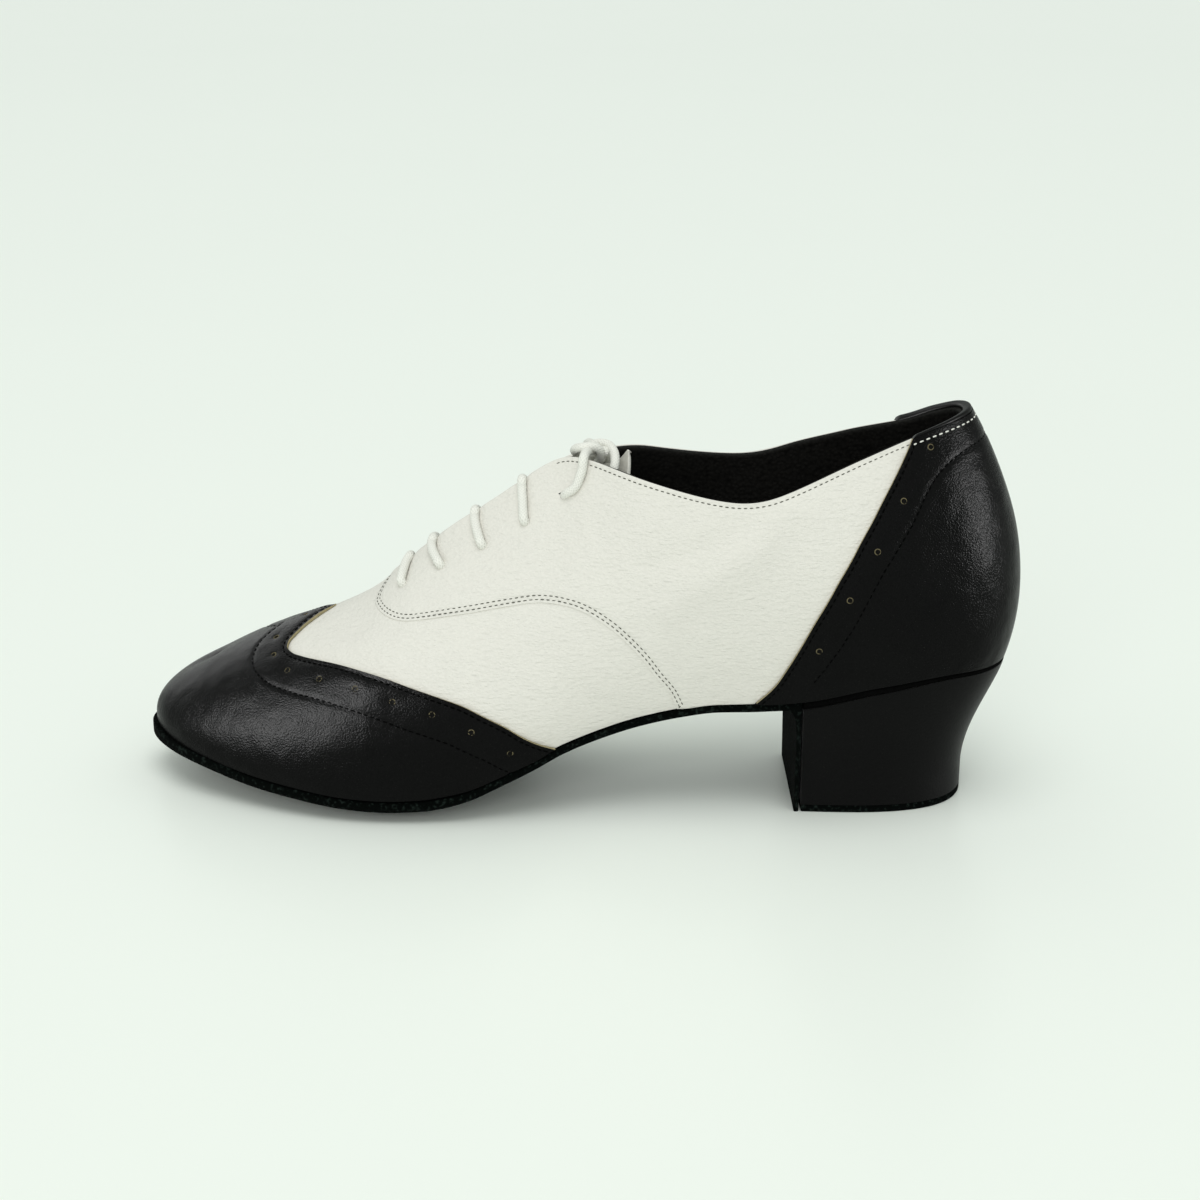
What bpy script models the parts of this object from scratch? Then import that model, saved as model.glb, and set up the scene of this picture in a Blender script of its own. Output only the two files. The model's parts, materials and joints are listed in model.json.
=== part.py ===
"""Left ballroom dance shoe: a laced two-tone oxford on a Cuban heel, built piece by piece.

The toe points to -X, the outer side of the foot is -Y, +Z is up and the floor is Z = 0.
Lengths along the shoe are stations, measured forward from the back of the heel seat, in millimetres.
"""

import math

import bmesh
import bpy
import numpy as np

MM = 0.001
COLLECTION = "ballroom_dance_shoe"

# Driving dimensions, in millimetres
SEAT_BACK_X = 126.7          # where station 0 lies, so that the whole shoe is centred on X
HEEL_AXIS_Y = -7.9           # where the heel's own axis lies, so that the whole shoe is centred on Y
CLEARANCE = 0.3              # gap between pieces that touch
FOOT_GAP = 0.6               # gap between the upper's foot and the sole, which curve apart
INSOLE_GAP = 0.45
LACE_GAP = 0.8               # gap between the lace and the facings under it
UPPER_WALL = 1.8             # leather and lining together
OVERLAY_WALL = 1.2           # toe wing and heel counter
QUARTER_STEP = 0.7           # how far the quarters stand proud of the vamp at their seam
TONGUE_WALL = 1.5
INSOLE_WALL = 2.0
TOP_PIECE_WALL = 2.2
LACE_DIAMETER = 2.7
BINDING_HEIGHT = 2.6         # at the back; it falls towards both ends
BINDING_END_SHARE = 0.45     # share of that height left at its ends
BINDING_WIDTH = 4.4

# The heel: its breast, and the outline of its foot against its seat
BREAST_STATION = 61.0
HEEL_FOOT_BACK = 11.1
HEEL_FOOT_FRONT = 60.6
HEEL_FOOT_WIDTH = 0.86       # share of the seat's width
HEEL_HOLLOW_END = 0.85       # share of the height over which the back line is hollow
HEEL_HOLLOW_POWER = 1.25

# The sole along the shoe: height of its underside, rise of its edges, thickness, ledge outside the upper
SOLE_COLUMNS = ("station", "underside", "edge_rise", "thickness", "ledge")
SOLE_PROFILE = (
    (-4.0, 42.2, 0.0, 1.0, 1.9),
    (15.0, 42.2, 0.0, 1.2, 1.9),
    (39.5, 38.4, 0.0, 1.9, 1.9),
    (61.0, 33.4, 0.0, 2.2, 1.5),
    (75.0, 32.1, 0.0, 2.2, 1.2),
    (86.0, 31.8, 0.0, 2.2, 1.0),
    (95.5, 30.3, 0.2, 2.2, 0.9),
    (107.5, 27.4, 0.5, 2.2, 0.8),
    (119.5, 23.3, 0.9, 2.2, 0.9),
    (130.5, 18.5, 1.3, 2.3, 1.1),
    (138.0, 14.1, 1.6, 2.5, 1.3),
    (148.5, 8.6, 2.1, 2.8, 1.5),
    (157.5, 4.2, 2.6, 3.0, 1.7),
    (165.5, 1.3, 3.0, 3.2, 1.8),
    (171.0, 0.0, 3.2, 3.2, 1.8),
    (193.0, 0.0, 3.3, 3.2, 1.8),
    (206.5, 2.0, 3.1, 3.2, 1.8),
    (222.5, 4.6, 2.4, 3.2, 1.8),
    (240.5, 8.6, 1.4, 3.2, 2.3),
    (256.0, 11.7, 0.0, 3.2, 3.2),
)
SOLE_FLAT_SHARE = 0.45       # the middle share of the width that lies flat

# The sole's flap down the heel's breast: front face, back face, half width
FLAP_COLUMNS = ("front", "front_height", "back", "back_height", "half")
FLAP = (
    (65.6, 32.6, 64.6, 35.0, 25.3),
    (63.9, 31.4, 62.2, 35.3, 25.3),
    (63.1, 28.6, 61.3, 34.6, 25.2),
    (62.7, 22.0, 61.3, 22.0, 24.2),
    (62.7, 11.0, 61.3, 11.0, 22.9),
    (62.7, 0.0, 61.3, 0.0, 22.0),
)
FLAP_MIDDLE = -0.3

# The last: one row for each rib of the wall, from the middle of the back to the middle of the toe.
# foot, outer, inner: where the rib leaves the sole on each side of the foot
# top, middle, half, height: where it ends, on the collar, the facing or the ridge of the vamp
# inner_rise: how much higher it ends on the inner side of the foot
# belly: the foot's handle, outward and upward; shoulder: the top's handle, outward and downward
RIB_COLUMNS = (
    "foot", "outer", "inner", "top", "middle", "half", "height", "inner_rise",
    "belly_out", "belly_up", "shoulder_out", "shoulder_drop",
)
RIBS = (
    (1.8, 0.0, 0.0, 15.0, 0.0, 0.0, 115.2, 0.0, 6.8, 22.0, 15.5, 26.0),
    (3.8, -9.2, 9.2, 16.6, 0.0, 6.2, 114.9, -0.4, 6.7, 22.0, 14.5, 26.0),
    (10.0, -17.3, 17.3, 22.0, 0.0, 11.5, 113.7, -1.5, 6.4, 22.0, 13.0, 26.0),
    (21.5, -22.8, 22.8, 31.5, 0.0, 16.2, 111.2, -3.0, 6.2, 22.0, 11.5, 26.0),
    (39.0, -25.0, 25.0, 47.5, 0.0, 21.5, 105.6, -1.9, 6.2, 22.0, 10.0, 25.0),
    (61.0, -24.2, 23.4, 64.0, 0.0, 25.0, 98.6, 0.0, 6.5, 21.0, 8.0, 22.0),
    (83.0, -23.6, 20.2, 80.0, 0.3, 26.0, 94.6, 1.0, 7.0, 20.0, 7.0, 20.0),
    (107.0, -24.0, 20.0, 104.0, 0.6, 20.0, 98.4, 0.8, 8.0, 22.0, 9.0, 21.0),
    (129.0, -25.8, 25.0, 121.0, 2.6, 11.0, 102.0, -2.0, 9.0, 26.0, 12.0, 20.0),
    (151.0, -28.5, 34.5, 133.0, 4.4, 4.8, 100.0, -3.2, 9.0, 26.0, 14.0, 17.0),
    (171.0, -30.2, 42.0, 149.0, 6.0, 4.0, 88.9, -2.8, 8.5, 25.0, 15.0, 15.0),
    (191.0, -29.0, 46.0, 167.0, 8.0, 3.0, 75.9, -1.6, 7.5, 22.0, 16.0, 12.0),
    (209.0, -24.0, 45.5, 183.0, 10.0, 0.0, 61.8, 0.0, 6.5, 19.0, 17.0, 7.0),
    (224.0, -17.0, 42.0, 197.5, 12.2, 0.0, 52.8, 0.0, 5.5, 16.0, 17.0, 4.5),
    (237.0, -9.0, 36.5, 212.5, 14.4, 0.0, 45.8, 0.0, 4.4, 13.0, 15.0, 4.0),
    (245.8, -1.0, 30.5, 223.5, 16.0, 0.0, 40.6, 0.0, 3.4, 11.0, 13.0, 4.5),
    (251.8, 8.0, 25.0, 230.5, 16.8, 0.0, 36.8, 0.0, 2.6, 9.5, 12.0, 5.0),
    (254.0, 17.0, 17.0, 233.0, 17.2, 0.0, 34.8, 0.0, 2.4, 9.0, 11.5, 5.2),
)
TOE = len(RIBS) - 1          # rib number at the middle of the toe
LOOP = 2 * TOE               # once round the shoe, back to the middle of the back
BREAST_RIB = 5.0             # the rib that stands over the heel's breast
WAIST_END_RIB = 5.4          # where the sole begins to bend down into its flap
THROAT_RIB = 12.0            # where the throat closes

# Panel lines: the rib number that each line crosses at a share of the way up the wall
LINE_COLUMNS = ("up", "counter", "seam", "wing")
PANEL_LINES = (
    (0.00, 5.66, 6.59, 8.15),
    (0.10, 5.39, 6.70, 8.54),
    (0.19, 5.23, 6.87, 8.92),
    (0.29, 5.05, 7.08, 9.52),
    (0.40, 4.84, 7.46, 10.50),
    (0.46, 4.70, 7.84, 11.06),
    (0.51, 4.58, 8.37, 11.60),
    (0.56, 4.46, 9.34, 12.18),
    (0.60, 4.35, 10.22, 12.65),
    (0.64, 4.24, 10.98, 13.02),
    (0.70, 4.08, 11.42, 13.30),
    (0.76, 3.90, 11.69, 13.39),
    (0.83, 3.69, 11.90, 13.38),
    (0.90, 3.45, 11.97, 13.31),
    (1.00, 3.09, 12.00, 13.08),
)
SEAM_SLOPE_RIBS = 0.06       # the seam's step, in ribs

# The tongue: the rib under which it leaves the facings, and how far its tip then runs back and rises
TONGUE_TURN_RIB = 8.9
TONGUE_ROWS = 10
TONGUE_TIP = ((7.0, -0.4), (13.0, 0.0), (16.5, 1.2), (19.0, 4.0))

# The lace: rib number and share up the wall of each hole, from the bottom of the throat up, and how many
# ribs the bar over it leans towards the toe on its way up
LACE_HOLES = (
    (11.40, 0.833, 0.08),
    (10.77, 0.822, 0.24),
    (10.13, 0.816, 0.19),
    (9.45, 0.815, 0.10),
)
# The lace from the top hole: rib number and share up the wall of the places that it runs over
LACE_RUN = ((8.74, 0.849), (8.58, 0.856), (8.45, 0.868), (8.35, 0.888), (8.27, 0.920), (8.20, 0.955))

# The knot and the lace beyond it: stations, sideways places and heights of the path of each run
KNOT = (122.3, 1.3, 103.0)
KNOT_SIZE = (7.5, 6.0, 6.0)
OUTER_RUN = ((124.2, -8.8, 103.2), (123.6, -6.0, 104.2), (122.9, -3.1, 104.0))
INNER_RUN = ((123.3, 14.4, 101.4), (122.6, 11.0, 102.9), (121.6, 5.0, 104.0))
OUTER_END = ((118.9, 5.4, 102.0), (118.2, 7.6, 100.8), (117.6, 9.6, 99.0), (117.4, 10.8, 97.4))
INNER_END = (
    (117.0, 1.9, 104.5),
    (115.5, -1.0, 103.2),
    (115.2, -4.2, 101.0),
    (116.0, -6.8, 98.2),
    (116.7, -7.8, 96.2),
)

# The binding's eight-sided section: shares of its width from the middle and of its height
BINDING_SECTION = (
    (-0.5, 0.25),
    (-0.28, 0.0),
    (0.28, 0.0),
    (0.5, 0.25),
    (0.5, 0.7),
    (0.28, 1.0),
    (-0.28, 1.0),
    (-0.5, 0.7),
)

# Mesh fineness
SHARP_ANGLE = math.radians(35)
PANEL_COLUMNS = (6, 15, 4, 12)
ACROSS = np.array([-1.0, -0.82, -0.64, -SOLE_FLAT_SHARE, 0.0, SOLE_FLAT_SHARE, 0.64, 0.82, 1.0])


# Tables and curves

def column(table, names, name):
    """One named column of a table, as an array."""
    return np.array([row[names.index(name)] for row in table], float)


def monotone(knots, values, at):
    """Cubic interpolation of a table that never overshoots its rows."""
    steps = np.diff(knots)
    rises = np.diff(values) / steps
    same_way = rises[:-1] * rises[1:] > 0
    weight_a = 2 * steps[1:] + steps[:-1]
    weight_b = steps[1:] + 2 * steps[:-1]
    safe_a = np.where(same_way, rises[:-1], 1.0)
    safe_b = np.where(same_way, rises[1:], 1.0)
    mean = (weight_a + weight_b) / (weight_a / safe_a + weight_b / safe_b)
    slopes = np.concatenate([rises[:1], np.where(same_way, mean, 0.0), rises[-1:]])
    at = np.clip(at, knots[0], knots[-1])
    low = np.clip(np.searchsorted(knots, at, side="right") - 1, 0, len(steps) - 1)
    u = (at - knots[low]) / steps[low]
    return (
        values[low] * (1 + 2 * u) * (1 - u) ** 2
        + slopes[low] * steps[low] * u * (1 - u) ** 2
        + values[low + 1] * u * u * (3 - 2 * u)
        - slopes[low + 1] * steps[low] * u * u * (1 - u)
    )


def round_spline(values, at):
    """Smooth closed curve through values at whole rib numbers once round the shoe."""
    count = len(values)
    rows = np.arange(count)
    system = 4 * np.eye(count)
    system[rows, (rows + 1) % count] = 1
    system[rows, (rows - 1) % count] = 1
    bends = np.linalg.solve(system, 6 * (np.roll(values, -1) - 2 * values + np.roll(values, 1)))
    at = np.mod(at, count)
    low = np.floor(at).astype(int) % count
    high = (low + 1) % count
    u = at - np.floor(at)
    return (
        values[low] * (1 - u) + values[high] * u
        + (((1 - u) ** 3 - (1 - u)) * bends[low] + (u ** 3 - u) * bends[high]) / 6
    )


def place(station, side, height):
    """Points of the frame, in millimetres, from stations, sideways places and heights."""
    return np.stack(np.broadcast_arrays(SEAT_BACK_X - station, HEEL_AXIS_Y + side, height), axis=-1)


# The sole's form

def sole_value(name, station):
    """A column of the sole's profile at a station."""
    knots = column(SOLE_PROFILE, SOLE_COLUMNS, "station")
    return monotone(knots, column(SOLE_PROFILE, SOLE_COLUMNS, name), station)


def underside(station, across):
    """Height of the sole's underside: flat in the middle, rising towards both edges."""
    rise = np.clip((np.abs(across) - SOLE_FLAT_SHARE) / (1 - SOLE_FLAT_SHARE), 0, 1) ** 1.6
    return sole_value("underside", station) + sole_value("edge_rise", station) * rise


def outline(rib):
    """Station and sideways place of the foot of a rib, and the outward direction there."""
    foot = column(RIBS, RIB_COLUMNS, "foot")
    outer = column(RIBS, RIB_COLUMNS, "outer")
    inner = column(RIBS, RIB_COLUMNS, "inner")
    stations = np.concatenate([foot, foot[-2:0:-1]])
    sides = np.concatenate([outer, inner[-2:0:-1]])
    reach = 0.01
    forward = round_spline(stations, rib + reach) - round_spline(stations, rib - reach)
    inward = round_spline(sides, rib + reach) - round_spline(sides, rib - reach)
    size = np.hypot(forward, inward)
    return round_spline(stations, rib), round_spline(sides, rib), inward / size, -forward / size


def edge(rib, out):
    """Station and sideways place of the outline moved outward by a distance."""
    station, side, out_station, out_side = outline(rib)
    return station + out * out_station, side + out * out_side


# The upper's form

def rib_value(name, rib):
    """A column of the rib table, the same on both sides of the shoe."""
    values = column(RIBS, RIB_COLUMNS, name)
    return round_spline(np.concatenate([values, values[-2:0:-1]]), rib)


def exact_value(name, rib, mirror):
    """A column of the rib table without overshoot, so that its zeros stay zeros; mirrored at the back."""
    values = column(RIBS, RIB_COLUMNS, name)
    knots = np.arange(-1, TOE + 1).astype(float)
    return monotone(knots, np.concatenate([[mirror * values[1]], values]), np.minimum(rib, LOOP - rib))


def half_width(rib):
    """Half the distance between the tops of the two sides: nothing once the throat has closed."""
    return exact_value("half", rib, -1.0)


def inner_rise(rib):
    """How much higher the inner side's top lies: nothing once the throat has closed."""
    return exact_value("inner_rise", rib, 1.0)


def wall(rib, up):
    """The upper's outer face: a four-point curve from the foot of a rib to its top."""
    rib = np.mod(rib, LOOP)
    station, side, out_station, out_side = outline(rib)
    floor = underside(station, 1.0) + sole_value("thickness", station) + FOOT_GAP
    hand = np.where(rib <= TOE, -1.0, 1.0)
    height = rib_value("height", rib) + np.where(hand > 0, inner_rise(rib), 0.0)
    foot = place(station, side, floor)
    top = place(rib_value("top", rib), rib_value("middle", rib) + hand * half_width(rib), height)
    outward = np.stack([-out_station, out_side, np.zeros_like(out_side)], axis=-1)
    upward = np.array([0.0, 0.0, 1.0])
    belly_out, belly_up = rib_value("belly_out", rib), rib_value("belly_up", rib)
    belly = foot + outward * belly_out[..., None] + upward * belly_up[..., None]
    shoulder = (
        top + outward * rib_value("shoulder_out", rib)[..., None]
        - upward * rib_value("shoulder_drop", rib)[..., None]
    )
    u = np.asarray(up, float)[..., None]
    return (1 - u) ** 3 * foot + 3 * u * (1 - u) ** 2 * belly + 3 * u * u * (1 - u) * shoulder + u ** 3 * top


def wall_normal(rib, up):
    """Outward direction of the upper's outer face."""
    reach = 0.01
    up = np.minimum(up, 1 - 2 * reach)
    along = wall(rib + reach, up) - wall(rib - reach, up)
    above = wall(rib, up + reach) - wall(rib, up - reach)
    normal = np.cross(above, along)
    return normal / np.linalg.norm(normal, axis=-1, keepdims=True)


def panel_line(name, up):
    """Rib number of a panel's edge at a share of the way up the wall."""
    return monotone(column(PANEL_LINES, LINE_COLUMNS, "up"), column(PANEL_LINES, LINE_COLUMNS, name), up)


def panel_ribs(up):
    """Rib numbers of one side's columns at each height, and which columns belong to the quarters."""
    marks = [np.zeros_like(up), panel_line("counter", up), panel_line("seam", up), panel_line("wing", up)]
    marks.append(np.full_like(up, TOE))
    columns = []
    for low, high, count in zip(marks, marks[1:], PANEL_COLUMNS):
        columns += [low + (high - low) * step / count for step in range(count)]
    quarter_end = PANEL_COLUMNS[0] + PANEL_COLUMNS[1]
    columns.insert(quarter_end, columns[quarter_end] - SEAM_SLOPE_RIBS)
    columns.append(marks[-1])
    raised = np.arange(len(columns)) <= quarter_end
    return np.array(columns), raised


def panel_points(first, last, up):
    """Outer face of some columns on the outer side, then on the inner side, as two grids of points."""
    ribs, raised = panel_ribs(up)
    ribs = ribs[first:last]
    step = np.where(raised[first:last], QUARTER_STEP, 0.0)[:, None, None]
    up = np.broadcast_to(up, ribs.shape)
    outer = wall(ribs, up) + step * wall_normal(ribs, up)
    inner = wall(LOOP - ribs, up) + step * wall_normal(LOOP - ribs, up)
    return outer, inner


# Solids

def clear_scene():
    """Start from an empty scene."""
    for old in list(bpy.data.objects):
        bpy.data.objects.remove(old, do_unlink=True)


def link(made):
    """Put an object into the shoe's own collection."""
    parts = bpy.data.collections.get(COLLECTION)
    if parts is None:
        parts = bpy.data.collections.new(COLLECTION)
        bpy.context.scene.collection.children.link(parts)
    parts.objects.link(made)
    return made


def material(name, colour, roughness):
    """A plain material for the source, one for each real material."""
    made = bpy.data.materials.get(name) or bpy.data.materials.new(name)
    made.use_nodes = True
    shader = made.node_tree.nodes["Principled BSDF"]
    shader.inputs["Base Color"].default_value = (*colour, 1.0)
    shader.inputs["Roughness"].default_value = roughness
    made.diffuse_color = (*colour, 1.0)
    return made


def add_mesh(name, points, faces, look):
    """One object from points in millimetres, with coincident points joined and faces turned outward."""
    mesh = bpy.data.meshes.new(name)
    mesh.from_pydata((np.asarray(points) * MM).tolist(), [], faces)
    shape = bmesh.new()
    shape.from_mesh(mesh)
    bmesh.ops.remove_doubles(shape, verts=shape.verts, dist=0.002 * MM)
    bmesh.ops.dissolve_degenerate(shape, edges=shape.edges, dist=0.001 * MM)
    bmesh.ops.recalc_face_normals(shape, faces=shape.faces)
    shape.to_mesh(mesh)
    shape.free()
    mesh.shade_smooth()
    mesh.set_sharp_from_angle(angle=SHARP_ANGLE)
    mesh.materials.append(look)
    return link(bpy.data.objects.new(name, mesh))


def grid_faces(columns, rows, wrap=False):
    """Quads of a grid of points laid out column by column; wrapped, the last column meets the first."""
    faces = []
    for i in range(columns if wrap else columns - 1):
        low, high = i * rows, (i + 1) % columns * rows
        faces += [(low + j, high + j, high + j + 1, low + j + 1) for j in range(rows - 1)]
    return faces


def add_sheet(name, grid, look, gap, thickness, outward, wrap=False):
    """A closed sheet from a grid that faces outward: moved out by a gap, then thickened in or out."""
    columns, rows = grid.shape[:2]
    made = add_mesh(name, grid.reshape(-1, 3), grid_faces(columns, rows, wrap), look)
    if gap:
        lift = made.modifiers.new("gap", "DISPLACE")
        lift.mid_level = 0.0
        lift.strength = gap * MM
    shell = made.modifiers.new("wall", "SOLIDIFY")
    shell.thickness = thickness * MM
    shell.offset = 1.0 if outward else -1.0
    shell.use_even_offset = True
    return made


def add_rings(name, rings, look):
    """A closed solid from rings of points; both end rings are closed by straight rungs across them."""
    count, size = rings.shape[:2]
    faces = []
    for i in range(count - 1):
        low, high = i * size, (i + 1) * size
        faces += [(low + j, low + (j + 1) % size, high + (j + 1) % size, high + j) for j in range(size)]
    for start in (0, (count - 1) * size):
        for j in range(size // 2 - 1):
            far = size - 1 - j
            faces.append((start + j, start + j + 1, start + far - 1, start + far))
        if size % 2:
            middle = start + size // 2
            faces.append((middle - 1, middle, middle + 1))
    return add_mesh(name, rings.reshape(-1, 3), faces, look)


def plate_rings(ribs, out, lower, upper, across=ACROSS):
    """Rings of a plate under the foot: across its lower face one way and back over its upper face."""
    outer_station, outer_side = edge(ribs, out)
    inner_station, inner_side = edge(LOOP - ribs, out)
    share = (1 + across) / 2
    station = outer_station[:, None] * (1 - share) + inner_station[:, None] * share
    side = outer_side[:, None] * (1 - share) + inner_side[:, None] * share
    low = place(station, side, lower(station, across))
    high = place(station, side, upper(station, across))
    return np.concatenate([low, high[:, ::-1]], axis=1)


def sole_top(station, across):
    """Height of the sole's upper face."""
    return underside(station, across) + sole_value("thickness", station)


def through(points, count):
    """A smooth path through points, evenly numbered, with straight runs shared at its ends."""
    points = np.asarray(points, float)
    ends = np.concatenate([[2 * points[0] - points[1]], points, [2 * points[-1] - points[-2]]])
    at = np.linspace(0, len(points) - 1, count)
    low = np.minimum(at.astype(int), len(points) - 2)
    u = (at - low)[:, None]
    a, b, c, d = ends[low], ends[low + 1], ends[low + 2], ends[low + 3]
    return b + 0.5 * u * (c - a + u * (2 * a - 5 * b + 4 * c - d + u * (3 * (b - c) + d - a)))


def add_tube(name, path, look):
    """A stretch of lace along a path: a round bevelled curve with filled caps."""
    curve = bpy.data.curves.new(name, "CURVE")
    curve.dimensions = "3D"
    curve.bevel_depth = LACE_DIAMETER / 2 * MM
    curve.bevel_resolution = 2
    curve.use_fill_caps = True
    run = curve.splines.new("POLY")
    run.points.add(len(path) - 1)
    for point, at in zip(run.points, path * MM):
        point.co = (*at, 1.0)
    curve.materials.append(look)
    return link(bpy.data.objects.new(name, curve))


# Pieces

def build_sole(look):
    """The sole: plate rings from the toe to the waist, then the rings of its flap down the heel's breast."""
    ribs = np.concatenate([TOE - np.array([0.0, 0.15, 0.4, 0.7]), np.arange(TOE - 1.0, WAIST_END_RIB, -0.33)])
    ribs = np.append(ribs, WAIST_END_RIB)
    rings = plate_rings(ribs, sole_value("ledge", outline(ribs)[0]), underside, sole_top)
    half = column(FLAP, FLAP_COLUMNS, "half")[:, None]
    side = FLAP_MIDDLE + half * ACROSS
    front = place(
        column(FLAP, FLAP_COLUMNS, "front")[:, None],
        side,
        column(FLAP, FLAP_COLUMNS, "front_height")[:, None],
    )
    back = place(
        column(FLAP, FLAP_COLUMNS, "back")[:, None],
        side,
        column(FLAP, FLAP_COLUMNS, "back_height")[:, None],
    )
    flap = np.concatenate([front, back[:, ::-1]], axis=1)
    return add_rings("outsole", np.concatenate([rings, flap]), look)


def heel_seat(out):
    """Outline of the heel's seat, from the breast round the back to the breast: stations and places."""
    ribs = np.concatenate([np.linspace(BREAST_RIB, 1.5, 8), np.linspace(1.2, 0.0, 6)])
    ribs = np.concatenate([ribs, LOOP - ribs[-2::-1]])
    return edge(ribs, out)


def heel_level(station, side, depth):
    """Outline of the heel at a share of the way from its seat to its foot, hollowed at the back."""
    share = np.sin(math.pi / 2 * min(1.0, depth / HEEL_HOLLOW_END)) ** HEEL_HOLLOW_POWER
    foot_station = HEEL_FOOT_BACK + station * (HEEL_FOOT_FRONT - HEEL_FOOT_BACK) / BREAST_STATION
    foot_side = side * HEEL_FOOT_WIDTH
    return station + (foot_station - station) * share, side + (foot_side - side) * share


def build_heel(cover, suede):
    """The covered heel block between the seat and its top piece, and the top piece on the floor."""
    station, side = heel_seat(sole_value("ledge", 20.0))
    seat = underside(station, 0.0) - CLEARANCE
    floor = TOP_PIECE_WALL + CLEARANCE
    rings = []
    for depth in np.linspace(0, 1, 9):
        level_station, level_side = heel_level(station, side, depth)
        rings.append(place(level_station, level_side, seat + (floor - seat) * depth))
    add_rings("heel_block", np.array(rings), cover)
    foot_station, foot_side = heel_level(station, side, 1.0)
    levels = [place(foot_station, foot_side, height) for height in (0.0, TOP_PIECE_WALL)]
    add_rings("heel_top_piece", np.array(levels), suede)


def build_rand(look):
    """The thin layer between the heel's seat and the upper."""
    ribs = np.concatenate([[0.0, 0.15, 0.4, 0.7], np.arange(1.0, BREAST_RIB + 0.01, 0.4)])
    rings = plate_rings(ribs, sole_value("ledge", outline(ribs)[0]), underside, sole_top)
    return add_rings("heel_seat_rand", rings, look)


def build_insole(look):
    """The board inside the upper's foot."""
    ribs = np.concatenate([[0.25, 0.5], np.arange(1.0, TOE - 0.7, 0.4), [TOE - 0.5, TOE - 0.25]])
    inset = -UPPER_WALL - 2 * CLEARANCE

    def lower(station, across):
        return sole_top(station, across) + INSOLE_GAP

    def upper(station, across):
        return sole_top(station, across) + INSOLE_GAP + INSOLE_WALL

    return add_rings("insole", plate_rings(ribs, inset, lower, upper, ACROSS[::2]), look)


def build_upper(look):
    """The hollow upper: one wall round the foot, joined along the ridge in front of the throat."""
    outer, inner = panel_points(0, None, column(PANEL_LINES, LINE_COLUMNS, "up"))
    loop = np.concatenate([outer, inner[-2:0:-1]])
    return add_sheet("upper", loop, look, 0.0, UPPER_WALL, outward=False, wrap=True)


def overlay_rows():
    """Heights of an overlay's rows: the upper's, with the lowest lifted off the sole's ledge."""
    up = column(PANEL_LINES, LINE_COLUMNS, "up")
    up[0] = 0.025
    return up


def build_wing(look):
    """The toe wing: the upper's face in front of the wing line, on both sides of the ridge."""
    first = sum(PANEL_COLUMNS[:3]) + 1
    outer, inner = panel_points(first, None, overlay_rows())
    strip = np.concatenate([outer, inner[-2::-1]])
    return add_sheet("toe_wing", strip, look, CLEARANCE, OVERLAY_WALL, outward=True)


def build_counter(look):
    """The heel counter: the upper's face behind the counter line, round the back."""
    last = PANEL_COLUMNS[0] + 1
    outer, inner = panel_points(0, last, overlay_rows())
    strip = np.concatenate([inner[:0:-1], outer])
    return add_sheet("heel_counter", strip, look, CLEARANCE, OVERLAY_WALL, outward=True)


def build_binding(look):
    """The rolled edge over the counter's top: an eight-sided bar that stands on the rim of the wall."""
    end = float(panel_line("counter", np.array(1.0)))
    way = np.linspace(-1, 1, 25)
    ribs = np.mod(end * way, LOOP)
    tall = BINDING_HEIGHT * (BINDING_END_SHARE + (1 - BINDING_END_SHARE) * np.cos(math.pi / 2 * way))
    full = np.ones_like(ribs)
    out = wall_normal(ribs, full)
    rise = wall(ribs, full) - wall(ribs, 0.97 * full)
    rise /= np.linalg.norm(rise, axis=1, keepdims=True)
    middle = QUARTER_STEP + (OVERLAY_WALL + CLEARANCE - UPPER_WALL) / 2
    rim = wall(ribs, full) + middle * out + (CLEARANCE + 0.2) * rise
    ring = []
    for sideways, height in BINDING_SECTION:
        ring.append(rim + BINDING_WIDTH * sideways * out + height * tall[:, None] * rise)
    return add_rings("collar_binding", np.stack(ring, axis=1), look)


def build_tongue(look):
    """The tongue: a sheet under the facings from below the throat to behind the knot."""
    shares = np.array([0.86, 0.92, 0.97, 1.0])
    depth = UPPER_WALL + 2 * CLEARANCE
    rows = []
    for rib in np.linspace(THROAT_RIB - 0.2, TONGUE_TURN_RIB, TONGUE_ROWS):
        ribs = np.full(len(shares), rib)
        outer = wall(ribs, shares) - depth * wall_normal(ribs, shares)
        inner = wall(LOOP - ribs, shares) - depth * wall_normal(LOOP - ribs, shares)
        middle = (outer[-1] + inner[-1]) / 2
        rows.append(np.concatenate([outer, middle[None], inner[::-1]]))
    for back, rise in TONGUE_TIP:
        rows.append(rows[TONGUE_ROWS - 1] + np.array([back, 0.0, rise]))
    return add_sheet("tongue", np.array(rows)[::-1], look, 0.0, TONGUE_WALL, outward=False)


def lace_hold(rib, up, lift):
    """A place on the facing, lifted off its face, on the outer and the inner side."""
    rib, up = np.atleast_1d(np.asarray(rib, float)), np.atleast_1d(np.asarray(up, float))
    lift = lift + QUARTER_STEP
    outer = wall(rib, up) + lift * wall_normal(rib, up)
    inner = wall(LOOP - rib, up) + lift * wall_normal(LOOP - rib, up)
    return outer, inner


def add_knot(look):
    """The knot, as one rounded body."""
    shape = bmesh.new()
    bmesh.ops.create_uvsphere(shape, u_segments=12, v_segments=6, radius=0.5 * MM)
    bmesh.ops.scale(shape, vec=KNOT_SIZE, verts=shape.verts)
    mesh = bpy.data.meshes.new("lace_knot")
    shape.to_mesh(mesh)
    shape.free()
    mesh.shade_smooth()
    mesh.materials.append(look)
    made = link(bpy.data.objects.new("lace_knot", mesh))
    made.location = place(*KNOT) * MM
    return made


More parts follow.
